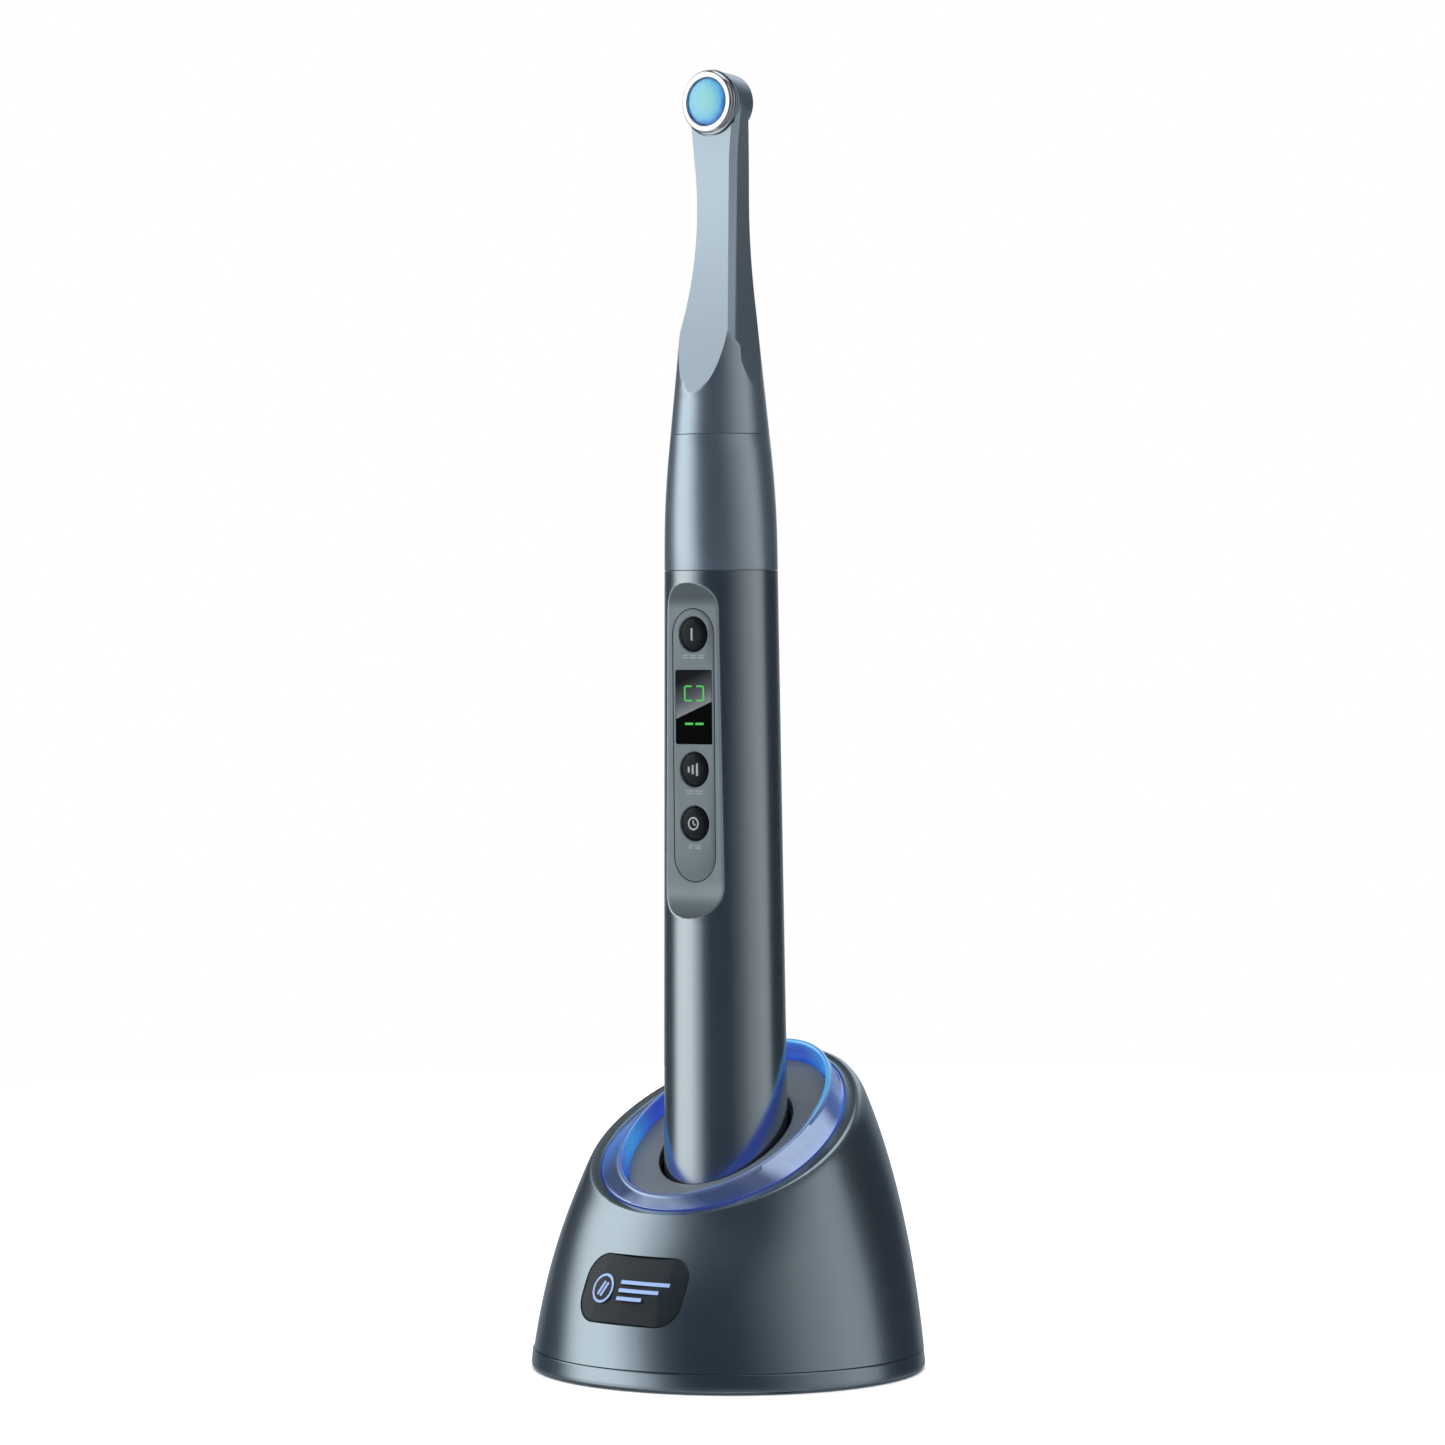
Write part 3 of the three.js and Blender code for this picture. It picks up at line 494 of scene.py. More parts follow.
def main_tube():
    z0, z1 = CAP_TOP_Z + GAP / 2, TUBE_TOP_Z - FINE_SEAM
    flat_low, flat_high = FLAT_Z
    tip_low = recess_tip(flat_low, flat_low - SCOOP_R + 0.01)
    tip_high = recess_tip(flat_high, flat_high + SCOOP_R - 0.01)
    shares = [(k / 18) ** 1.6 for k in range(19)]  # of each recess end, closest together at its tip
    heights = [z0 + 0.15, 20, 25, 30, 35, 38, 40, 42, 46] + list(np.arange(50, tip_low - 1, 3))
    heights += [tip_low - (tip_low - flat_low) * share for share in shares]
    heights += list(np.arange(flat_low + 2, flat_high - 1, 2.5))
    heights += [tip_high - (tip_high - flat_high) * share for share in reversed(shares)]
    heights += [z1 - 0.5, z1 - 0.05]
    rings = [tube_section(z0, 0.15)] + [tube_section(z) for z in heights] + [tube_section(z1, 0.05)]
    rings[0] = [(x, y, z0) for x, y, _ in rings[0]]
    bar = loft("main_tube_shell", rings, sharp=24)
    bore = spin("bore", [(0, 0), (9.45, 0), (9.45, 84.3), (0, 84.3)], sides=64)
    cavity = spin("cavity", [(0, 83.9), (9.3, 83.9), (9.3, 145.6), (0, 145.6)], sides=64)
    carve(cavity, box("front", (-20, 20), (-20, INNER_FLAT_Y), (0, 200), bevel=0))
    socket = spin("socket", [(0, 145.5), (9.15, 145.5), (9.15, 160), (0, 160)], sides=64)
    z_low, z_high = PANEL_Z
    opening = plate("opening", 2 * PANEL_HALF, z_high - z_low, PANEL_HALF, (z_low + z_high) / 2,
                    [(-20, 0.06), (FLAT_Y - 0.05, 0.06), (FLAT_Y + 0.06, 0), (0, 0)], n=28)
    carve(bar, bore, cavity, socket, opening, sharp=24)
    bar.data.materials.append(TUBE)
    bar.data.materials.append(RECESS)
    for face in bar.data.polygons:
        x, y, z = face.center / MM
        if y < -5 and face.normal.y < -0.2 and math.hypot(x, y) < tube_radius(z) - 0.1:
            face.material_index = 1
    return bar


def control_panel():
    z_low, z_high = PANEL_Z
    panel = plate("panel_insert", 2 * PANEL_HALF - 0.2, z_high - z_low - 0.2, PANEL_HALF - 0.1,
                  (z_low + z_high) / 2,
                  [(FLAT_Y, -0.12), (FLAT_Y + 0.04, -0.04), (FLAT_Y + 0.12, 0), (INNER_FLAT_Y, 0)], n=28)
    wide, tight = BUTTON_R + 0.4, BUTTON_R + SEAM
    profile = [(0, -20), (wide, -20), (wide, FLAT_Y), (tight, FLAT_Y + 0.25), (tight, 0), (0, 0)]
    holes = [spin("hole", profile, sides=96, axis="Y", at=(0, 0, z)) for z in BUTTONS.values()]
    window = plate("window", WINDOW_WIDE, WINDOW_TALL, 0.35, WINDOW_Z,
                   [(-20, 0.05), (FLAT_Y, 0.05), (FLAT_Y + 0.06, 0), (0, 0)], n=6)
    return carve(panel, *holes, window)


def button(name, z):
    crown = FLAT_Y - BUTTON_PROUD
    drops = ((0, 0), (0.8, 0.02), (1.6, 0.08), (2.2, 0.18), (2.6, 0.29), (2.85, 0.42), (2.97, 0.56),
             (3, 0.75))
    profile = [(r, crown + drop) for r, drop in drops]
    profile += [(3, -7.1), (3.6, -7.1), (3.6, -6.6), (1.2, -6.6), (1.2, -5.95), (0, -5.95)]
    return spin(f"button_cap_{name}", profile, sides=96, axis="Y", at=(0, 0, z), sharp=40)


def on_button(z):
    """Places marks on the crown of the button at height z."""
    crown = FLAT_Y - BUTTON_PROUD
    return lambda u, v, h: (u, crown + 0.03 * (u * u + v * v) - h, z + v)


def on_flat(y):
    return lambda u, v, h: (u, y - h, v)


def button_marks():
    ticks = [(line((x, -half), (x, half)), 0.42, False)
             for x, half in ((-0.95, 0.55), (0, 0.85), (0.95, 1.15))]
    clock = [(circle((0, 0), 1.08), 0.3, True), (line((0, 0.62), (0, -0.05)), 0.28, False),
             (line((0.05, -0.02), (0.5, -0.3)), 0.28, False)]
    bar = [(line((0, -1.15), (0, 1.15)), 0.42, False)]
    return {name: inlay(f"mark_{name}", strokes, on_button(BUTTONS[name]))
            for name, strokes in (("power", bar), ("mode", ticks), ("timer", clock))}


def panel_labels():
    strokes = []
    rows = ((132.6, (-2.5, -1.2, -0.8, 0.6, 1.0, 2.5)), (107.5, (-2.0, -0.2, 0.2, 2.0)),
            (97.4, (-1.4, -0.4, 0, 1.4)))
    for z, ends in rows:
        for start, end in zip(ends[::2], ends[1::2]):
            strokes += [(line((start, z + shift), (end, z + shift)), 0.26, False) for shift in (-0.24, 0.24)]
    return inlay("panel_labels", strokes, on_flat(FLAT_Y), top=0.02, bottom=0.1)


def display_segments():
    left, right, low, high, arm = -2.0, 2.3, 124.45, 127.1, 1.6
    strokes = [(line((x, low), (x, high)), 0.36, False) for x in (left, right)]
    for z in (low, high):
        strokes += [(line((left + 0.15, z), (left + arm, z)), 0.32, False),
                    (line((right - arm, z), (right - 0.15, z)), 0.32, False)]
    strokes += [(line((left, 120.15), (left + 1.9, 120.15)), 0.42, False),
                (line((right - 1.9, 120.15), (right, 120.15)), 0.42, False)]
    return inlay("display_segments", strokes, on_flat(FLAT_Y - 0.05), top=0.015, bottom=0.05)


def display_window():
    return plate("display_glass_pane", WINDOW_WIDE - SEAM, WINDOW_TALL - SEAM, 0.3, WINDOW_Z,
                 [(FLAT_Y - 0.05, -0.1), (FLAT_Y + 0.02, 0), (-7.9, 0)], n=6)


def collar_sleeve():
    bottom, top = TUBE_TOP_Z + FINE_SEAM, SEAM_Z - FINE_SEAM
    profile = [(7.6, 145.9), (9, 145.9), (9, bottom), (tube_radius(bottom), bottom)]
    profile += bend((tube_radius(153), 153), (10.43, 161.55), (cone_radius(170), 170), 24)
    profile += [(cone_radius(top), top), (7.05, top), (7.05, 164.6), (7.6, 164.6)]
    return spin("collar", profile, sides=192, round_by=0.06)


def tail_cap():
    z = TAIL_Z
    profile = [(1.9, z), (4.2, z), (4.2, z + 1.3), (6.8, z + 1.3), (6.8, z), (TAIL_R - 1, z),
               (TAIL_R - 0.3, z + 0.3), (TAIL_R, z + 1), (TAIL_R, CAP_TOP_Z), (9.2, CAP_TOP_Z), (9.2, 18.5),
               (8.2, 18.5), (8.2, 16.5), (1.9, 16.5)]
    return spin("tail_end", profile, round_by=0.2)


# ------------------------------ turning head


def arc_rise(z, vertex, radius):
    return radius - math.sqrt(radius**2 - (z - vertex) ** 2)


def neck_section(radius, z):
    """A ring of the neck: the turned bar cut by the scooped flats. Each flat keeps its own columns of points
    and each corner between two flats keeps the columns of the round that is left there."""
    w = 4.27 + arc_rise(z, 215, 130)
    f = 1.63 + arc_rise(min(z, 225), 217.6, 100)
    b = 4.7 + arc_rise(min(z, 222), 222, 180)
    turned_by = math.radians(BREAK_TURN)
    broken = math.sin(turned_by) * (w - NECK_BREAK) + math.cos(turned_by) * f
    flats = [(0, w), (90, b), (180, w), (270 - BREAK_TURN, broken), (270, f), (270 + BREAK_TURN, broken)]
    ends = []  # of each flat, as angles round the axis, with the distance from it
    corners = []
    for k, (turn, distance) in enumerate(flats):
        other_turn, other = flats[(k + 1) % len(flats)]
        gap = math.radians((other_turn - turn) % 360)
        lean = math.atan2(other - distance * math.cos(gap), distance * math.sin(gap))
        corners.append((lean, distance / math.cos(lean)))
    ring = []
    for k, (turn, distance) in enumerate(flats):
        base = math.radians(turn)
        other_turn, other = flats[(k + 1) % len(flats)]
        before_gap = math.radians((turn - flats[k - 1][0]) % 360)
        lean_before = corners[k - 1][0] - before_gap
        reach = math.acos(min(1, distance / radius))
        low, high = max(lean_before, -reach), min(corners[k][0], reach)
        if distance >= radius:
            low = high = 0
        for i in range(9):
            a = low + (high - low) * i / 8
            r = min(radius, distance / math.cos(a))
            ring.append((r * math.cos(base + a), r * math.sin(base + a), z))
        gap = math.radians((other_turn - turn) % 360)
        other_reach = math.acos(min(1, other / radius))
        after = max(corners[k][0] - gap, -other_reach) + gap
        for i in range(1, 24):
            a = high + (after - high) * i / 24
            r = radius if after - high > 1e-9 else min(radius, corners[k][1])
            ring.append((r * math.cos(base + a), r * math.sin(base + a), z))
    return ring


def head_shell():
    bottom = SEAM_Z + FINE_SEAM
    line_up = [(cone_radius(bottom) - 0.06, bottom), (cone_radius(bottom), bottom + 0.06)]
    line_up += [(cone_radius(z), z) for z in np.arange(bottom + 1, 198, 0.8)]
    line_up += bend((cone_radius(198.6), 198.6), (ENVELOPE_R, 207.8), (ENVELOPE_R, 217), 24)
    line_up += [(ENVELOPE_R, z) for z in np.arange(218, HEAD_Z, 1.2)] + [(ENVELOPE_R, HEAD_Z)]
    neck = loft("head_body", [neck_section(r, z) for r, z in line_up])
    front = HEAD_FRONT_Y - 0.04
    profile = [(0, front), (5.85, front), (5.8, 0), (5.5, 3.9), (4.9, HEAD_BACK_Y), (0, HEAD_BACK_Y)]
    drum = spin("drum", soften(profile, 0.35, looped=False, steps=5), sides=144, axis="Y", at=(0, 0, HEAD_Z))
    carve(neck, drum, operation="UNION")
    room, chamber = (spin(name, [(0, -9), (r, -9), (r, y), (0, y)], sides=sides, axis="Y", at=(0, 0, HEAD_Z))
                     for name, r, y, sides in (("room", 6.35, HEAD_FRONT_Y, 144), ("chamber", 4.8, 3.4, 96)))
    socket = spin("socket", [(0, 170), (5.85, 170), (5.85, 182.5), (1.5, 190), (0, 190)], sides=64)
    groove = spin("groove", [(7.4, 170), (8.6, 170), (8.6, SEAM_Z + 1.1), (7.4, SEAM_Z + 1.1)], sides=64)
    channel = box("channel", (-1.7, 1.7), (-0.3, 3.3), (186, 232), bevel=0)
    return carve(neck, room, chamber, merged("sockets", [socket, groove]), channel, sharp=24)


def lens_bezel():
    y = BEZEL_Y
    profile = [(LENS_R + 0.1, y + 0.1), (LENS_R + 0.25, y), (5.5, y), (5.8, y + 0.34), (5.8, -2.6),
               (5.45, -2.4), (5.45, -2.15), (6, -2), (6, -1.65), (4.6, -1.6), (4.6, 0.6), (4, 0.6), (4, -2),
               (LENS_R + 0.1, -2)]
    return spin("bezel", profile, sides=192, axis="Y", at=(0, 0, HEAD_Z), round_by=0.13)


def lens():
    y = BEZEL_Y
    bulge = ((0, -0.3), (0.8, -0.288), (1.6, -0.25), (2.4, -0.17), (3, -0.08), (3.5, 0.02), (3.9, 0.13),
             (4.2, 0.24), (LENS_R, 0.35))
    profile = [(r, y + rise) for r, rise in bulge] + [(LENS_R, -2.3), (0, -2.3)]
    return spin("lens_dome", profile, sides=128, axis="Y", at=(0, 0, HEAD_Z), sharp=50)


# ------------------------------ charging base

SIDES = 200
ANGLES = np.arange(SIDES) * 2 * np.pi / SIDES
COS, SIN = np.cos(ANGLES), np.sin(ANGLES)


def on_slope(across, along, out):
    """Points of the sloping top: across, along the slope and out of it."""
    return np.stack([across, along * math.cos(TILT) - out * math.sin(TILT),
                     RIM_Z + along * math.sin(TILT) + out * math.cos(TILT)], axis=-1)


def egg(shape, out, grow=0.0):
    x, along, pinch, shift = shape
    flat = np.zeros(SIDES)
    return on_slope((x + grow) * COS * (1 - pinch * SIN), shift + (along + grow) * SIN, flat + out)


def dome(t, s):
    """Points of the dome's outside: t goes round it and s from the floor, 0, to the top edge, 1."""
    cos, sin = np.cos(t), np.sin(t)
    rise, lean = 19.8 + 1.1 * sin, 0.108 - 0.062 * sin
    reach, drop, grow = 12.9 + 1.8 * sin, 1.121, 0.9 + sin
    zero = np.zeros_like(t)
    foot = np.stack([BASE_X * cos, BASE_Y * sin, zero])
    rim = on_slope(RIM[0] * cos * (1 - RIM[2] * sin), RIM[1] * sin, zero).T
    edge = rim + np.stack([grow * cos, grow * sin, grow * sin * math.tan(TILT)])
    low = np.stack([foot[0] - rise * lean * cos, foot[1] - rise * lean * sin, rise])
    level = reach * math.cos(drop)
    high = edge + np.stack([level * cos, level * sin, -reach * math.sin(drop) + zero])
    r = 1 - s
    return (r**3 * foot + 3 * s * r * r * low + 3 * s * s * r * high + s**3 * edge).T


def dome_ring(s, inset=0.0):
    ring = dome(ANGLES, s + np.zeros(SIDES))
    ring[:, 0] -= inset * COS
    ring[:, 1] -= inset * SIN
    return ring


def dome_foot(height):
    """The s of every angle at which the dome's outside reaches a height."""
    low, high = np.zeros(SIDES), np.full(SIDES, 0.5)
    for _ in range(40):
        middle = (low + high) / 2
        below = dome(ANGLES, middle)[:, 2] < height
        low, high = np.where(below, middle, low), np.where(below, high, middle)
    return low


def dome_skin(inset=0.0, bottom=None, steps=46):
    """Rings of the dome's wall from its foot over the rounded shoulder to the rim."""
    start = dome_foot(bottom) if bottom else np.zeros(SIDES)
    rings = [dome_ring(start + (0.93 - start) * k / steps, inset) for k in range(steps + 1)]
    corner, end = dome_ring(1.0, inset), egg(RIM, -inset)
    for k in range(1, 10):
        a = k / 10
        rings.append((1 - a) ** 2 * rings[steps] + 2 * a * (1 - a) * corner + a * a * end)
    return rings + [end]


def badge_prism(name, grow):
    return plate(name, BADGE_WIDE + 2 * grow, BADGE_TALL + 2 * grow, BADGE_CORNER + grow, BADGE_Z,
                 [(-45, 0), (-15, 0)], n=16)


def base_shell():
    outside = dome_skin(bottom=SHELL_FOOT_Z)
    foot = outside[0].copy()
    foot[:, 0] -= 0.07 * COS
    foot[:, 1] -= 0.07 * SIN
    outside[0] = dome_ring(dome_foot(SHELL_FOOT_Z + 0.07))
    inner_start = dome_foot(SHELL_FOOT_Z)
    inside = [dome_ring(inner_start + (0.72 - inner_start) * k / 14, SHELL_WALL) for k in range(14, -1, -1)]
    lip = [egg(RIM, 0.0, -0.25), egg(RING_FOOT, 0.0, GAP + 0.2), egg(RING_FOOT, -0.06, GAP + 0.05),
           egg(RING_FOOT, -0.2, GAP)]
    under = -LEDGE - 1.6
    seat = [egg(RING_FOOT, -LEDGE, GAP), egg(OPENING, -LEDGE), egg(OPENING, under),
            egg(RING_FOOT, under, -0.4)]
    shell = loft("dome_shell", [foot] + outside + lip + seat + inside, looped=True, sharp=28)
    seat_tool = badge_prism("seat", 0.09)
    carve(seat_tool, loft("core", dome_skin(1.3)))
    outlet = plate("outlet", INLET_WIDE + 0.6, INLET_TALL + 0.6, INLET_TALL / 2 + 0.3, INLET_Z,
                   [(20, 0), (60, 0)], n=16)
    return carve(shell, seat_tool, outlet, sharp=28)


def dome_front_y(u, v):
    """The y of the dome's front at (x, z), by Newton's steps over its two parameters."""
    t, s = np.full(1, 1.5 * math.pi + u / 40), np.full(1, v / 60)
    for _ in range(12):
        here, h = dome(t, s)[0], 1e-5
        by_t, by_s = (dome(t + h, s)[0] - here) / h, (dome(t, s + h)[0] - here) / h
        jacobian = np.array([[by_t[0], by_s[0]], [by_t[2], by_s[2]]])
        step = np.linalg.solve(jacobian, np.array([u - here[0], v - here[2]]))
        t, s = t + step[0], s + step[1]
    return float(dome(t, s)[0][1])


def badge_plate():
    """A flush plate that follows the dome, with its edge rounded over."""
    rings = []
    face = [(-inset, 0.0) for inset in (5.6, 4.8, 4.0, 3.2, 2.4, 1.6, 0.9, 0.4)]
    edge = [(-0.2, 0.02), (-0.06, 0.1), (0, 0.25), (0, 1.0)]
    for grow, depth in face + edge:
        outline = rounded(BADGE_WIDE + 2 * grow, BADGE_TALL + 2 * grow, max(BADGE_CORNER + grow, 0.2), 16)
        rings.append([(u, dome_front_y(u, BADGE_Z + v) + depth, BADGE_Z + v) for u, v in outline])
    return loft("badge_plate", rings, sharp=40)


def badge_emblem():
    """A made-up mark: two leaning strokes in a ring beside three short lines."""
    z = BADGE_Z
    strokes = [(circle((-6.4, z), 2.3, 56), 0.42, True),
               (line((-7.3, z - 1.1), (-6.2, z + 1.2)), 0.5, False),
               (line((-6.5, z - 1.3), (-5.4, z + 1.0)), 0.5, False)]
    strokes += [(line((-2.4, z + up), (end, z + up), steps), 0.62, False)
                for up, end, steps in ((1.4, 8.2, 16), (0, 6.4, 16), (-1.4, 3.2, 12))]
    return inlay("badge_emblem", strokes, lambda u, v, h: (u, dome_front_y(u, v) - h, v), bottom=0.08)


def level_ring(x, y, z):
    return np.stack([x * COS, y * SIN, np.full(SIDES, float(z))], axis=-1)


def bottom_plate():
    edge = ((1.3, 0.5), (0.6, 0.5), (0.32, 0.56), (0.16, 0.72), (0.11, 1.0), (0.13, 1.5), (0.34, 3.4),
            (0.36, 3.62), (0.39, 3.68), (0.46, 3.7), (3, 3.7))
    body = loft("bottom_cover", [level_ring(BASE_X - inset, BASE_Y - inset, z) for inset, z in edge])
    socket = [(0, -1), (4.95, -1), (4.95, 0.5), (4.8, 0.7), (4.8, 2.3), (0, 2.3)]
    hole = [(0, -1), (2.95, -1), (2.95, 0.5), (2.7, 0.75), (2.7, 2.4), (1.6, 2.4), (1.6, 9), (0, 9)]
    tools = [spin("socket", socket, sides=64, at=(x, y, 0)) for x, y in FOOT_AT]
    tools += [spin("hole", hole, sides=48, at=(x, y, 0)) for x, y in SCREW_AT]
    return carve(body, merged("sockets", tools))


def rubber_foot(i, at):
    profile = [(0, 0.35), (1.6, 0.35), (1.9, 0), (2.5, 0), (2.7, 0.3), (3.1, 0.3), (3.3, 0), (4.2, 0),
               (4.5, 0.3), (4.5, 2), (0, 2)]
    return spin(f"rubber_foot_{i}", profile, sides=72, at=(*at, 0), round_by=0.1)


def plate_screw(i, at):
    profile = [(0, 1), (1.9, 1), (2.4, 1.35), (2.4, 2.1), (1.3, 2.1), (1.3, 6.3), (0.8, 6.8), (0, 6.8)]
    screw = spin(f"cover_screw_{i}", profile, sides=56, at=(*at, 0), round_by=0.12)
    x, y = at
    slot = [box("slot", (x - 1.5, x + 1.5), (y - 0.3, y + 0.3), (0, 1.7), bevel=0),
            box("slot", (x - 0.3, x + 0.3), (y - 1.5, y + 1.5), (0, 1.7), bevel=0)]
    return carve(screw, *slot)


def light_ring():
    foot = GAP - LEDGE
    section = [egg(RING_FOOT, foot), egg(RING_FOOT, -0.15), egg(RING_FOOT, 0.0, -0.02)]
    start, end = egg(RING_FOOT, 0.06, -0.12), egg(RING_TOP, 2.22, 0.02)
    section += [start + (end - start) * k / 6 for k in range(7)]
    crown = ((2.36, -0.05), (2.46, -0.16), (2.5, -0.32), (2.5, -0.68), (2.46, -0.84), (2.36, -0.95),
             (2.2, -1.0))
    section += [egg(RING_TOP, out, grow) for out, grow in crown]
    start, end = section[-1], egg(RING_INNER, foot)
    section += [start + (end - start) * k / 5 for k in range(1, 6)]
    ring = loft("glow_ring", section, looped=True, sharp=34)
    ring.data.materials.append(RING)
    ring.data.materials.append(RING_INSIDE)
    uphill = Vector((0, math.cos(TILT), math.sin(TILT)))
    for face in ring.data.polygons:
        x, along = face.center.x / MM, uphill.dot(face.center / MM - Vector((0, 0, RIM_Z)))
        if x * face.normal.x + along * uphill.dot(face.normal) < -0.4 * math.hypot(x, along):
            face.material_index = 1
    return ring


def hole_edge(out, grow=0.0):
    """Where an upright round hole meets the slope at a height out of it."""
    r = HOLE_R + grow
    along = (r * SIN + out * math.sin(TILT)) / math.cos(TILT)
    return on_slope(r * COS, along, np.full(SIDES, float(out)))


def deck_plate():
    top, bottom = -0.8, -1.9
    rings = [hole_edge(bottom), hole_edge(top - 0.35), hole_edge(top - 0.1, 0.08), hole_edge(top, 0.35)]
    outer = egg(DECK_EDGE, top, -0.25)
    rings += [rings[3] + (outer - rings[3]) * k / 4 for k in range(1, 5)]
    rings += [egg(DECK_EDGE, top - 0.07, -0.06), egg(DECK_EDGE, top - 0.25), egg(DECK_EDGE, bottom)]
    return loft("deck_cover", rings, looped=True)


def charging_well():
    def ring(r, z):
        return level_ring(r, r, z)

    def top(r, drop=0.0):
        z = RIM_Z - (LEDGE + drop) / math.cos(TILT) + r * SIN * math.tan(TILT)
        return np.stack([r * COS, r * SIN, z], axis=-1)

    shelf = TAIL_Z - GAP
    rings = [ring(WELL_R, 4.1), ring(WELL_R + 1.3, 4.1), top(WELL_R + 1.3, 0.15), top(WELL_R + 1.15),
             top(WELL_R + 0.2), top(WELL_R, 0.2), ring(WELL_R, shelf + 0.3), ring(WELL_R - 0.3, shelf),
             ring(7.6, shelf), ring(7.4, shelf - 0.2), ring(7.4, 9.7), ring(WELL_R, 9.7)]
    return loft("well_liner", rings, looped=True)


def inlet_shell():
    outside = plate("inlet_shell", INLET_WIDE, INLET_TALL, INLET_TALL / 2, INLET_Z,
                    [(27.5, 0), (33.5, 0), (33.6, -0.1)], n=16)
    inside = plate("inside", INLET_WIDE - 1, INLET_TALL - 1, INLET_TALL / 2 - 0.5, INLET_Z,
                   [(28.3, 0), (33.45, 0), (33.75, 0.3), (40, 0.3)], n=16)
    return carve(outside, inside)


def contact_block():
    block = spin("contact_carrier", [(0, 8), (7.1, 8), (7.1, 11.3), (0, 11.3)], sides=96, round_by=0.2)
    hole = [(0, 0), (1.45, 0), (1.45, 11.1), (1.65, 11.3), (1.65, 20), (0, 20)]
    holes = [spin("hole", hole, sides=40, at=(x, 0, 0)) for x in PIN_X]
    return carve(block, merged("holes", holes))


def pin(i, x):
    tube = [(0, 7.6), (1.3, 7.6), (1.3, 10.6), (0.95, 10.6), (0.95, 8.1), (0, 8.1)]
    tip = [(0, 9.5), (0.8, 9.5), (0.8, 11.25), (0.68, 11.5), (0.5, 11.65), (0.25, 11.73), (0, 11.75)]
    barrel = spin(f"contact_barrel_{i}", tube, sides=48, at=(x, 0, 0), round_by=0.08)
    plunger = spin(f"contact_pin_{i}", tip, sides=48, at=(x, 0, 0), sharp=45)
    return barrel, plunger


# ------------------------------ put the pieces on the frame


def dress(obj, body, paint, nodes=()):
    if paint is not None:
        obj.data.materials.clear()
        obj.data.materials.append(paint)
    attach(obj, body)
    if nodes:
        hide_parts(*nodes)
    return obj


dress(main_tube(), "handpiece", None, ["main_tube"])
dress(collar_sleeve(), "handpiece", HEAD, ["collar_sleeve"])
dress(control_panel(), "handpiece", PANEL, ["control_panel"])
dress(display_window(), "handpiece", GLASS, ["display_window"])
dress(display_segments(), "handpiece", SEGMENT)
dress(panel_labels(), "handpiece", LABEL)
dress(tail_cap(), "handpiece", BLACK, ["tail_cap"])
for name, inner, outer, top, sides, cad in (("tail_contact", 0, 1.6, 16.4, 56, "tail_contact_centre"),
                                            ("tail_track", 4.5, 6.5, TAIL_Z + 1, 96, "tail_contact_ring")):
    low = TAIL_Z + 0.05
    profile = [(inner, low), (outer, low), (outer, top), (inner, top)]
    dress(spin(name, profile, sides=sides, round_by=0.12), "handpiece", BRASS, [cad])
marks = button_marks()
for name, z in BUTTONS.items():
    dress(button(name, z), f"button_{name}", GLOSS, [f"button_{name}"])
    dress(marks[name], f"button_{name}", MARK)

dress(head_shell(), "head", HEAD, ["head_shell"])
dress(lens_bezel(), "head", CHROME, ["lens_bezel"])
dress(lens(), "head", LENS, ["lens"])

dress(base_shell(), "base", SHELL, ["base_shell"])
dress(badge_plate(), "base", BADGE, ["badge"])
dress(badge_emblem(), "base", EMBLEM)
dress(bottom_plate(), "base", SHELL, ["bottom_plate"])
dress(light_ring(), "base", None, ["light_ring"])
dress(deck_plate(), "base", DECK, ["deck_plate"])
dress(charging_well(), "base", WELL, ["charging_well"])
dress(inlet_shell(), "base", STEEL, ["inlet_socket"])
dress(box("inlet_tongue_blade", (-3.3, 3.3), (28.6, 32.8), (INLET_Z - 0.35, INLET_Z + 0.35), bevel=0.12),
      "base", BLACK, ["inlet_tongue"])
dress(contact_block(), "base", GREY, ["contact_block"])
for i, at in enumerate(FOOT_AT, 1):
    dress(rubber_foot(i, at), "base", RUBBER, [f"foot_{i}"])
for i, at in enumerate(SCREW_AT, 1):
    dress(plate_screw(i, at), "base", STEEL, [f"plate_screw_{i}"])
for i, x in enumerate(PIN_X, 1):
    barrel, plunger = pin(i, x)
    dress(barrel, "base", BRASS, [f"pin_barrel_{i}"])
    dress(plunger, f"pin_{i}", BRASS, [f"pin_plunger_{i}"])

# The ring's own light, with a colour up its front, another up its back, and brighter places round it.
GLOW_STOPS = (0.3, 0.58, 0.85, 0.98)
LAMPS = (((-22, -7, 41), 12), ((24, 9, 50), 7), ((12, 21, 57), 9))  # centre and reach


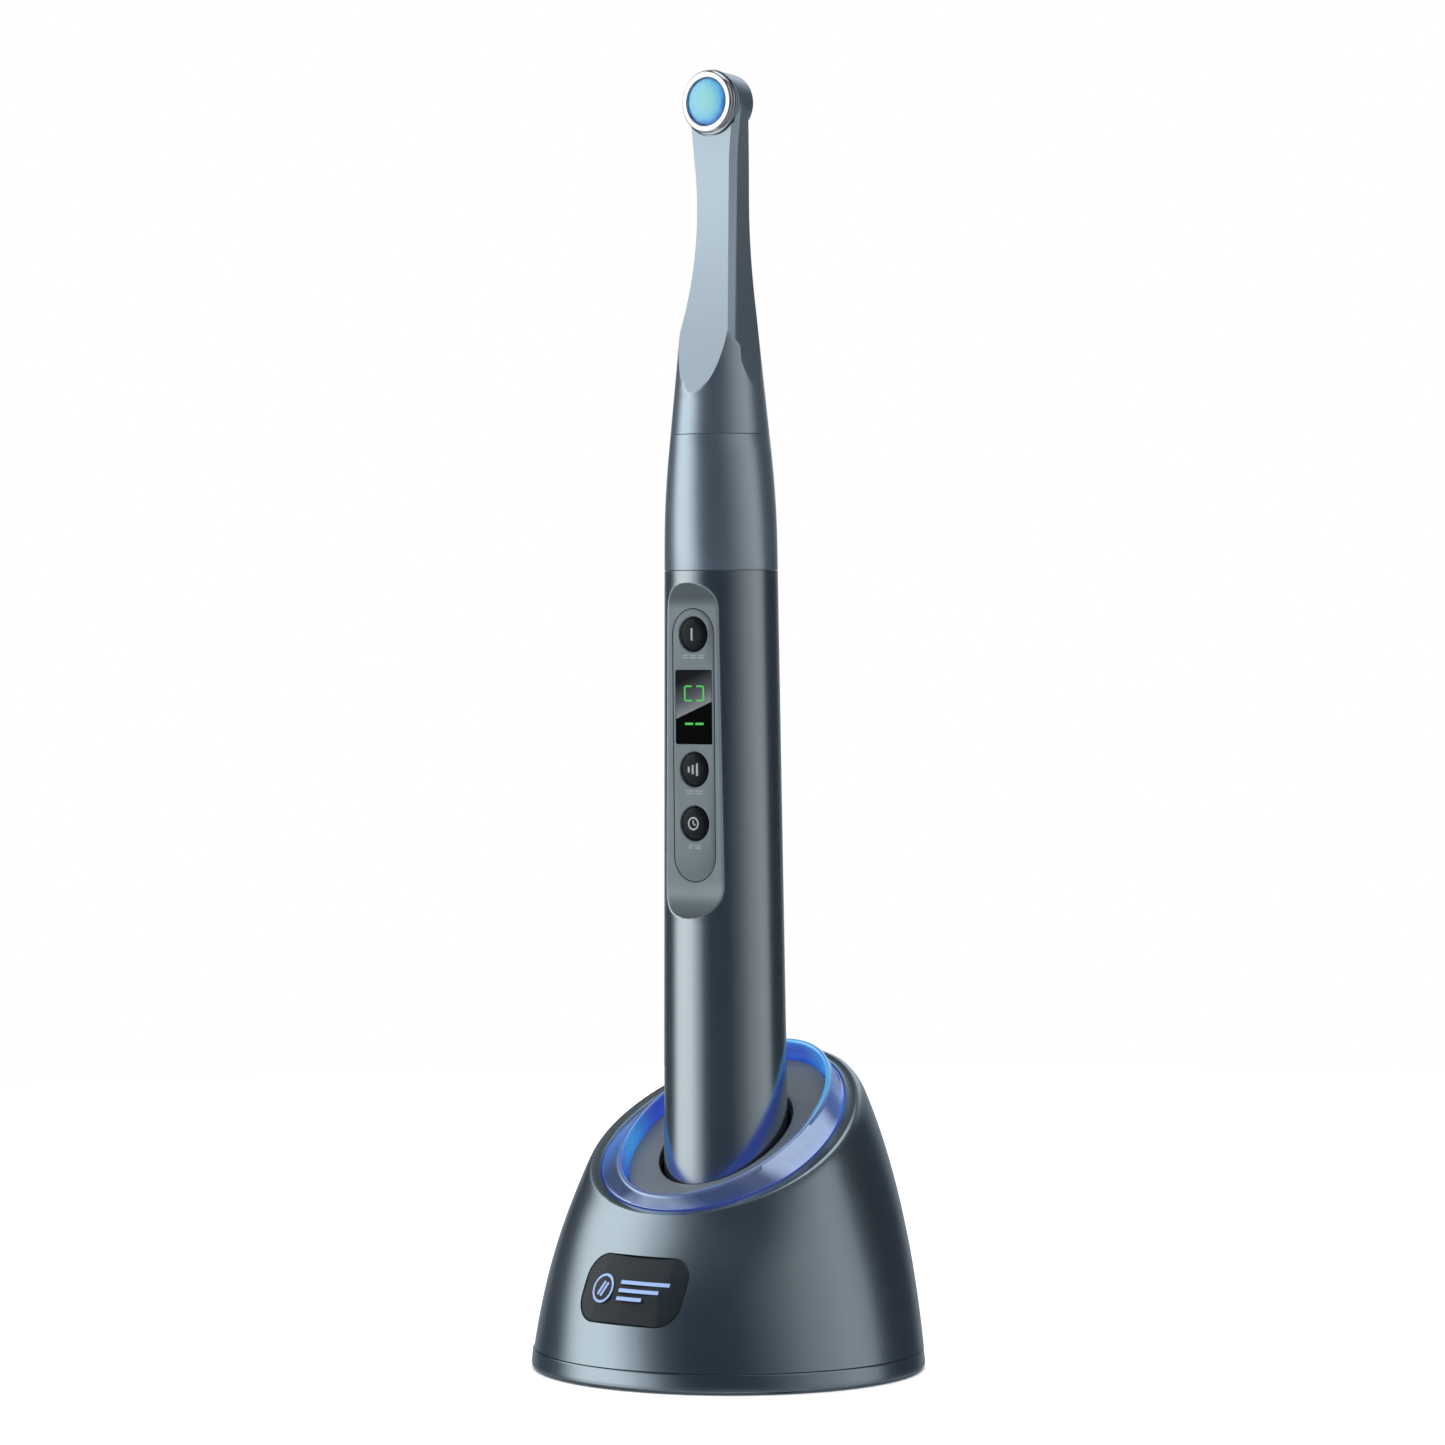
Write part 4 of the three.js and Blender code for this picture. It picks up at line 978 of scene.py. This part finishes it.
def ring_glow(made, front, back, lamp_colour, strength):
    tree = made.node_tree
    shader = tree.nodes["Principled BSDF"]
    sin, cos, height = math.sin(TILT), math.cos(TILT), 4.5
    out = coordinate(made, (0, -sin / height, cos / height, (1.9 - RIM_Z * cos) / height))
    uphill = coordinate(made, (0.25 / 24, 1.0 / 24, 0, 0.1))
    low, high = (colour_ramp(tree, out, [(at, linear(code)) for at, code in zip(GLOW_STOPS, codes)])
                 for codes in (front, back))
    side = smooth_step(tree, uphill, 0.1, 0.75)
    mixed = node(tree, "Mix", feeds={"Factor": side, "A": low, "B": high}, data_type="RGBA")
    shade = mixed.outputs["Result"]
    where = node(tree, "TexCoord")
    for place, reach in LAMPS:
        away = node(tree, "VectorMath", {1: [c * MM for c in place]}, {0: where.outputs["Object"]},
                    operation="DISTANCE")
        near = smooth_step(tree, away.outputs["Value"], reach * MM, 0.0)
        shade = covered(tree, near, shade, linear(lamp_colour))
    tree.links.new(shade, shader.inputs["Emission Color"])
    shader.inputs["Emission Strength"].default_value = strength


ring_glow(RING, ("1c2f88", "14225a", "16244e", "3a4c7c"), ("2450b0", "1c2f7a", "203a88", "3d9fd8"),
          "2a64b8", 0.9)
ring_glow(RING_INSIDE, ("2c46b8", "263ca4", "2238a0", "3a5cb0"), ("2450b8", "243f9c", "2c62b4", "44b0dc"),
          "3a9cd8", 0.85)

# CAD pieces that keep their own mesh, mostly inside, take a material by what they are made of.
INSIDE = {
    GREY: ["swivel_bush", "board_carrier", "led_emitter"],
    BLACK: ["display_module", "controller_chip", "driver_coil", "charger_chip", "wiring_plug"],
    STEEL: ["switch_power", "switch_mode", "switch_timer", "battery_spring", "swivel_spigot",
            "retaining_clip", "ballast_plate"],
    BOARD: ["control_board", "led_board", "ring_board", "charging_board"],
    BRASS: ["battery_contact"],
    COPPER: ["heat_slug"],
    CHROME: ["reflector"],
    RUBBER: ["head_wiring", "swivel_seal"],
    CELL: ["battery_cell"],
}
for paint, names in INSIDE.items():
    for name in names:
        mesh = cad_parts[name].data
        mesh.materials.clear()
        mesh.materials.append(paint)
        mesh.shade_smooth()
        mesh.set_sharp_from_angle(angle=math.radians(32))

# ------------------------------ floor, light and camera

CAMERA_TURN, CAMERA_PITCH, CAMERA_ROLL = math.radians(37), math.radians(1.198), math.radians(-0.494)
CAMERA_AWAY, CAMERA_HEIGHT, CAMERA_LENS = 0.913, 0.1393, 122.08  # metres, metres and millimetres
FLOOR_SIDES, FLOOR_RADII = 96, (40, 120, 300, 620)
WORLD_STRENGTH, PANEL_LEAN = 1.5, 48 / 360

# Reflected panels: degrees to the right of the camera, as seen from the object, with each place's colour.
BANDS = (
    (-180, (0.8, 0.82, 0.85)), (-160, (0.25, 0.28, 0.31)), (-142, (0.035, 0.045, 0.06)),
    (-117, (0.035, 0.045, 0.06)), (-107, (0.7, 0.72, 0.74)), (-99, (1.42, 1.42, 1.38)),
    (-69, (1.42, 1.42, 1.38)), (-53, (0.75, 0.77, 0.79)), (-40, (0.12, 0.14, 0.165)),
    (-28, (0.018, 0.034, 0.052)),
    (12, (0.018, 0.034, 0.056)), (26, (0.1, 0.11, 0.12)), (38, (0.2, 0.21, 0.22)), (52, (0.36, 0.365, 0.365)),
    (80, (0.56, 0.56, 0.555)), (93, (0.5, 0.5, 0.5)), (99, (0.06, 0.07, 0.085)), (114, (0.016, 0.024, 0.036)),
    (140, (0.03, 0.04, 0.055)), (160, (0.25, 0.28, 0.31)), (180, (0.8, 0.82, 0.85)))
# Layers over them by height: where one starts and is full, how far it covers, and its colour.
LAYERS = ((0.68, 0.84, 1.0, (0.07, 0.08, 0.09)), (0.9, 0.965, 1.0, (1.1, 1.12, 1.15)),
          (-0.08, -0.26, 0.5, (0.2, 0.23, 0.26)), (-0.42, -0.6, 0.4, (0.26, 0.28, 0.31)))


def studio_floor():
    n = FLOOR_SIDES
    turns = np.linspace(0, 2 * math.pi, n + 1)[:-1]
    rings = [[(r * math.cos(t), r * math.sin(t), 0.0) for t in turns] for r in FLOOR_RADII]
    points = [p for ring in rings for p in ring] + [(0, 0, 0)]
    faces = []
    for i in range(len(rings) - 1):
        a, b = i * n, (i + 1) * n
        faces += [(a + j, a + (j + 1) % n, b + (j + 1) % n, b + j) for j in range(n)]
    faces += [(len(points) - 1, (j + 1) % n, j) for j in range(n)]
    floor = solid("studio_floor", points, faces)
    if floor.data.polygons[0].normal.z < 0:
        floor.data.flip_normals()
    floor.data.materials.append(material("floor_white", [0.86, 0.86, 0.86, 1], rough=0.6, vary=0.01, patch=6,
                                         grain=400, bump=0.01))
    floor.visible_glossy = False


def world_colour(colour):
    return (*[c / WORLD_STRENGTH for c in colour], 1)


def studio_world():
    """Pale to the camera; in reflections, tall soft panels to the left and right of a darker room."""
    world = bpy.data.worlds.new("studio")
    world.use_nodes = True
    scene.world = world
    tree = world.node_tree
    tree.nodes.clear()
    where = node(tree, "TexCoord").outputs["Generated"]
    turn = node(tree, "Mapping", {"Rotation": (0, 0, math.pi / 2 - CAMERA_TURN)}, {"Vector": where},
                vector_type="POINT")
    around = node(tree, "TexGradient", feeds={"Vector": turn.outputs["Vector"]},
                  gradient_type="RADIAL")
    height = node(tree, "SeparateXYZ", feeds={"Vector": where}).outputs["Z"]
    above = node(tree, "Math", {1: 0.0}, {0: height}, operation="MAXIMUM")
    # higher up, the panels lean to the left
    lean = node(tree, "Math", {1: PANEL_LEAN},
                {0: above.outputs["Value"], 2: around.outputs["Fac"]}, operation="MULTIPLY_ADD")
    stops = [(angle / 360 + 0.5, world_colour(colour)) for angle, colour in BANDS]
    shade = colour_ramp(tree, lean.outputs["Value"], stops, "EASE")
    for low, high, amount, colour in LAYERS:
        shade = covered(tree, smooth_step(tree, height, low, high, amount), shade, world_colour(colour))
    seen = node(tree, "LightPath").outputs["Is Camera Ray"]
    final = covered(tree, seen, shade, world_colour((1, 1, 1)))
    background = node(tree, "Background", {"Strength": WORLD_STRENGTH}, {"Color": final})
    node(tree, "OutputWorld", feeds={"Surface": background.outputs["Background"]})


def overhead_light():
    lamp = bpy.data.lights.new("overhead", "SUN")
    lamp.energy = 5.2
    lamp.angle = math.radians(100)
    obj = bpy.data.objects.new("overhead", lamp)
    obj.location = (0, 0, 1)
    obj.rotation_euler = (math.radians(-8), math.radians(-6), 0)
    obj.visible_glossy = False
    scene.collection.objects.link(obj)


def studio_camera():
    data = bpy.data.cameras.new("camera")
    data.sensor_width = 36
    data.lens = CAMERA_LENS
    data.clip_start, data.clip_end = 0.05, 20
    camera = bpy.data.objects.new("camera", data)
    x, y, level = math.sin(CAMERA_TURN), -math.cos(CAMERA_TURN), math.cos(CAMERA_PITCH)
    camera.location = (CAMERA_AWAY * x, CAMERA_AWAY * y, CAMERA_HEIGHT)
    ahead = -Vector((x * level, y * level, math.sin(CAMERA_PITCH)))
    roll = Matrix.Rotation(CAMERA_ROLL, 3, "Z").to_quaternion()
    camera.rotation_mode = "QUATERNION"
    camera.rotation_quaternion = ahead.to_track_quat("-Z", "Y") @ roll
    scene.collection.objects.link(camera)
    scene.camera = camera


studio_floor()
studio_world()
overhead_light()
studio_camera()
scene.view_settings.view_transform = "Standard"
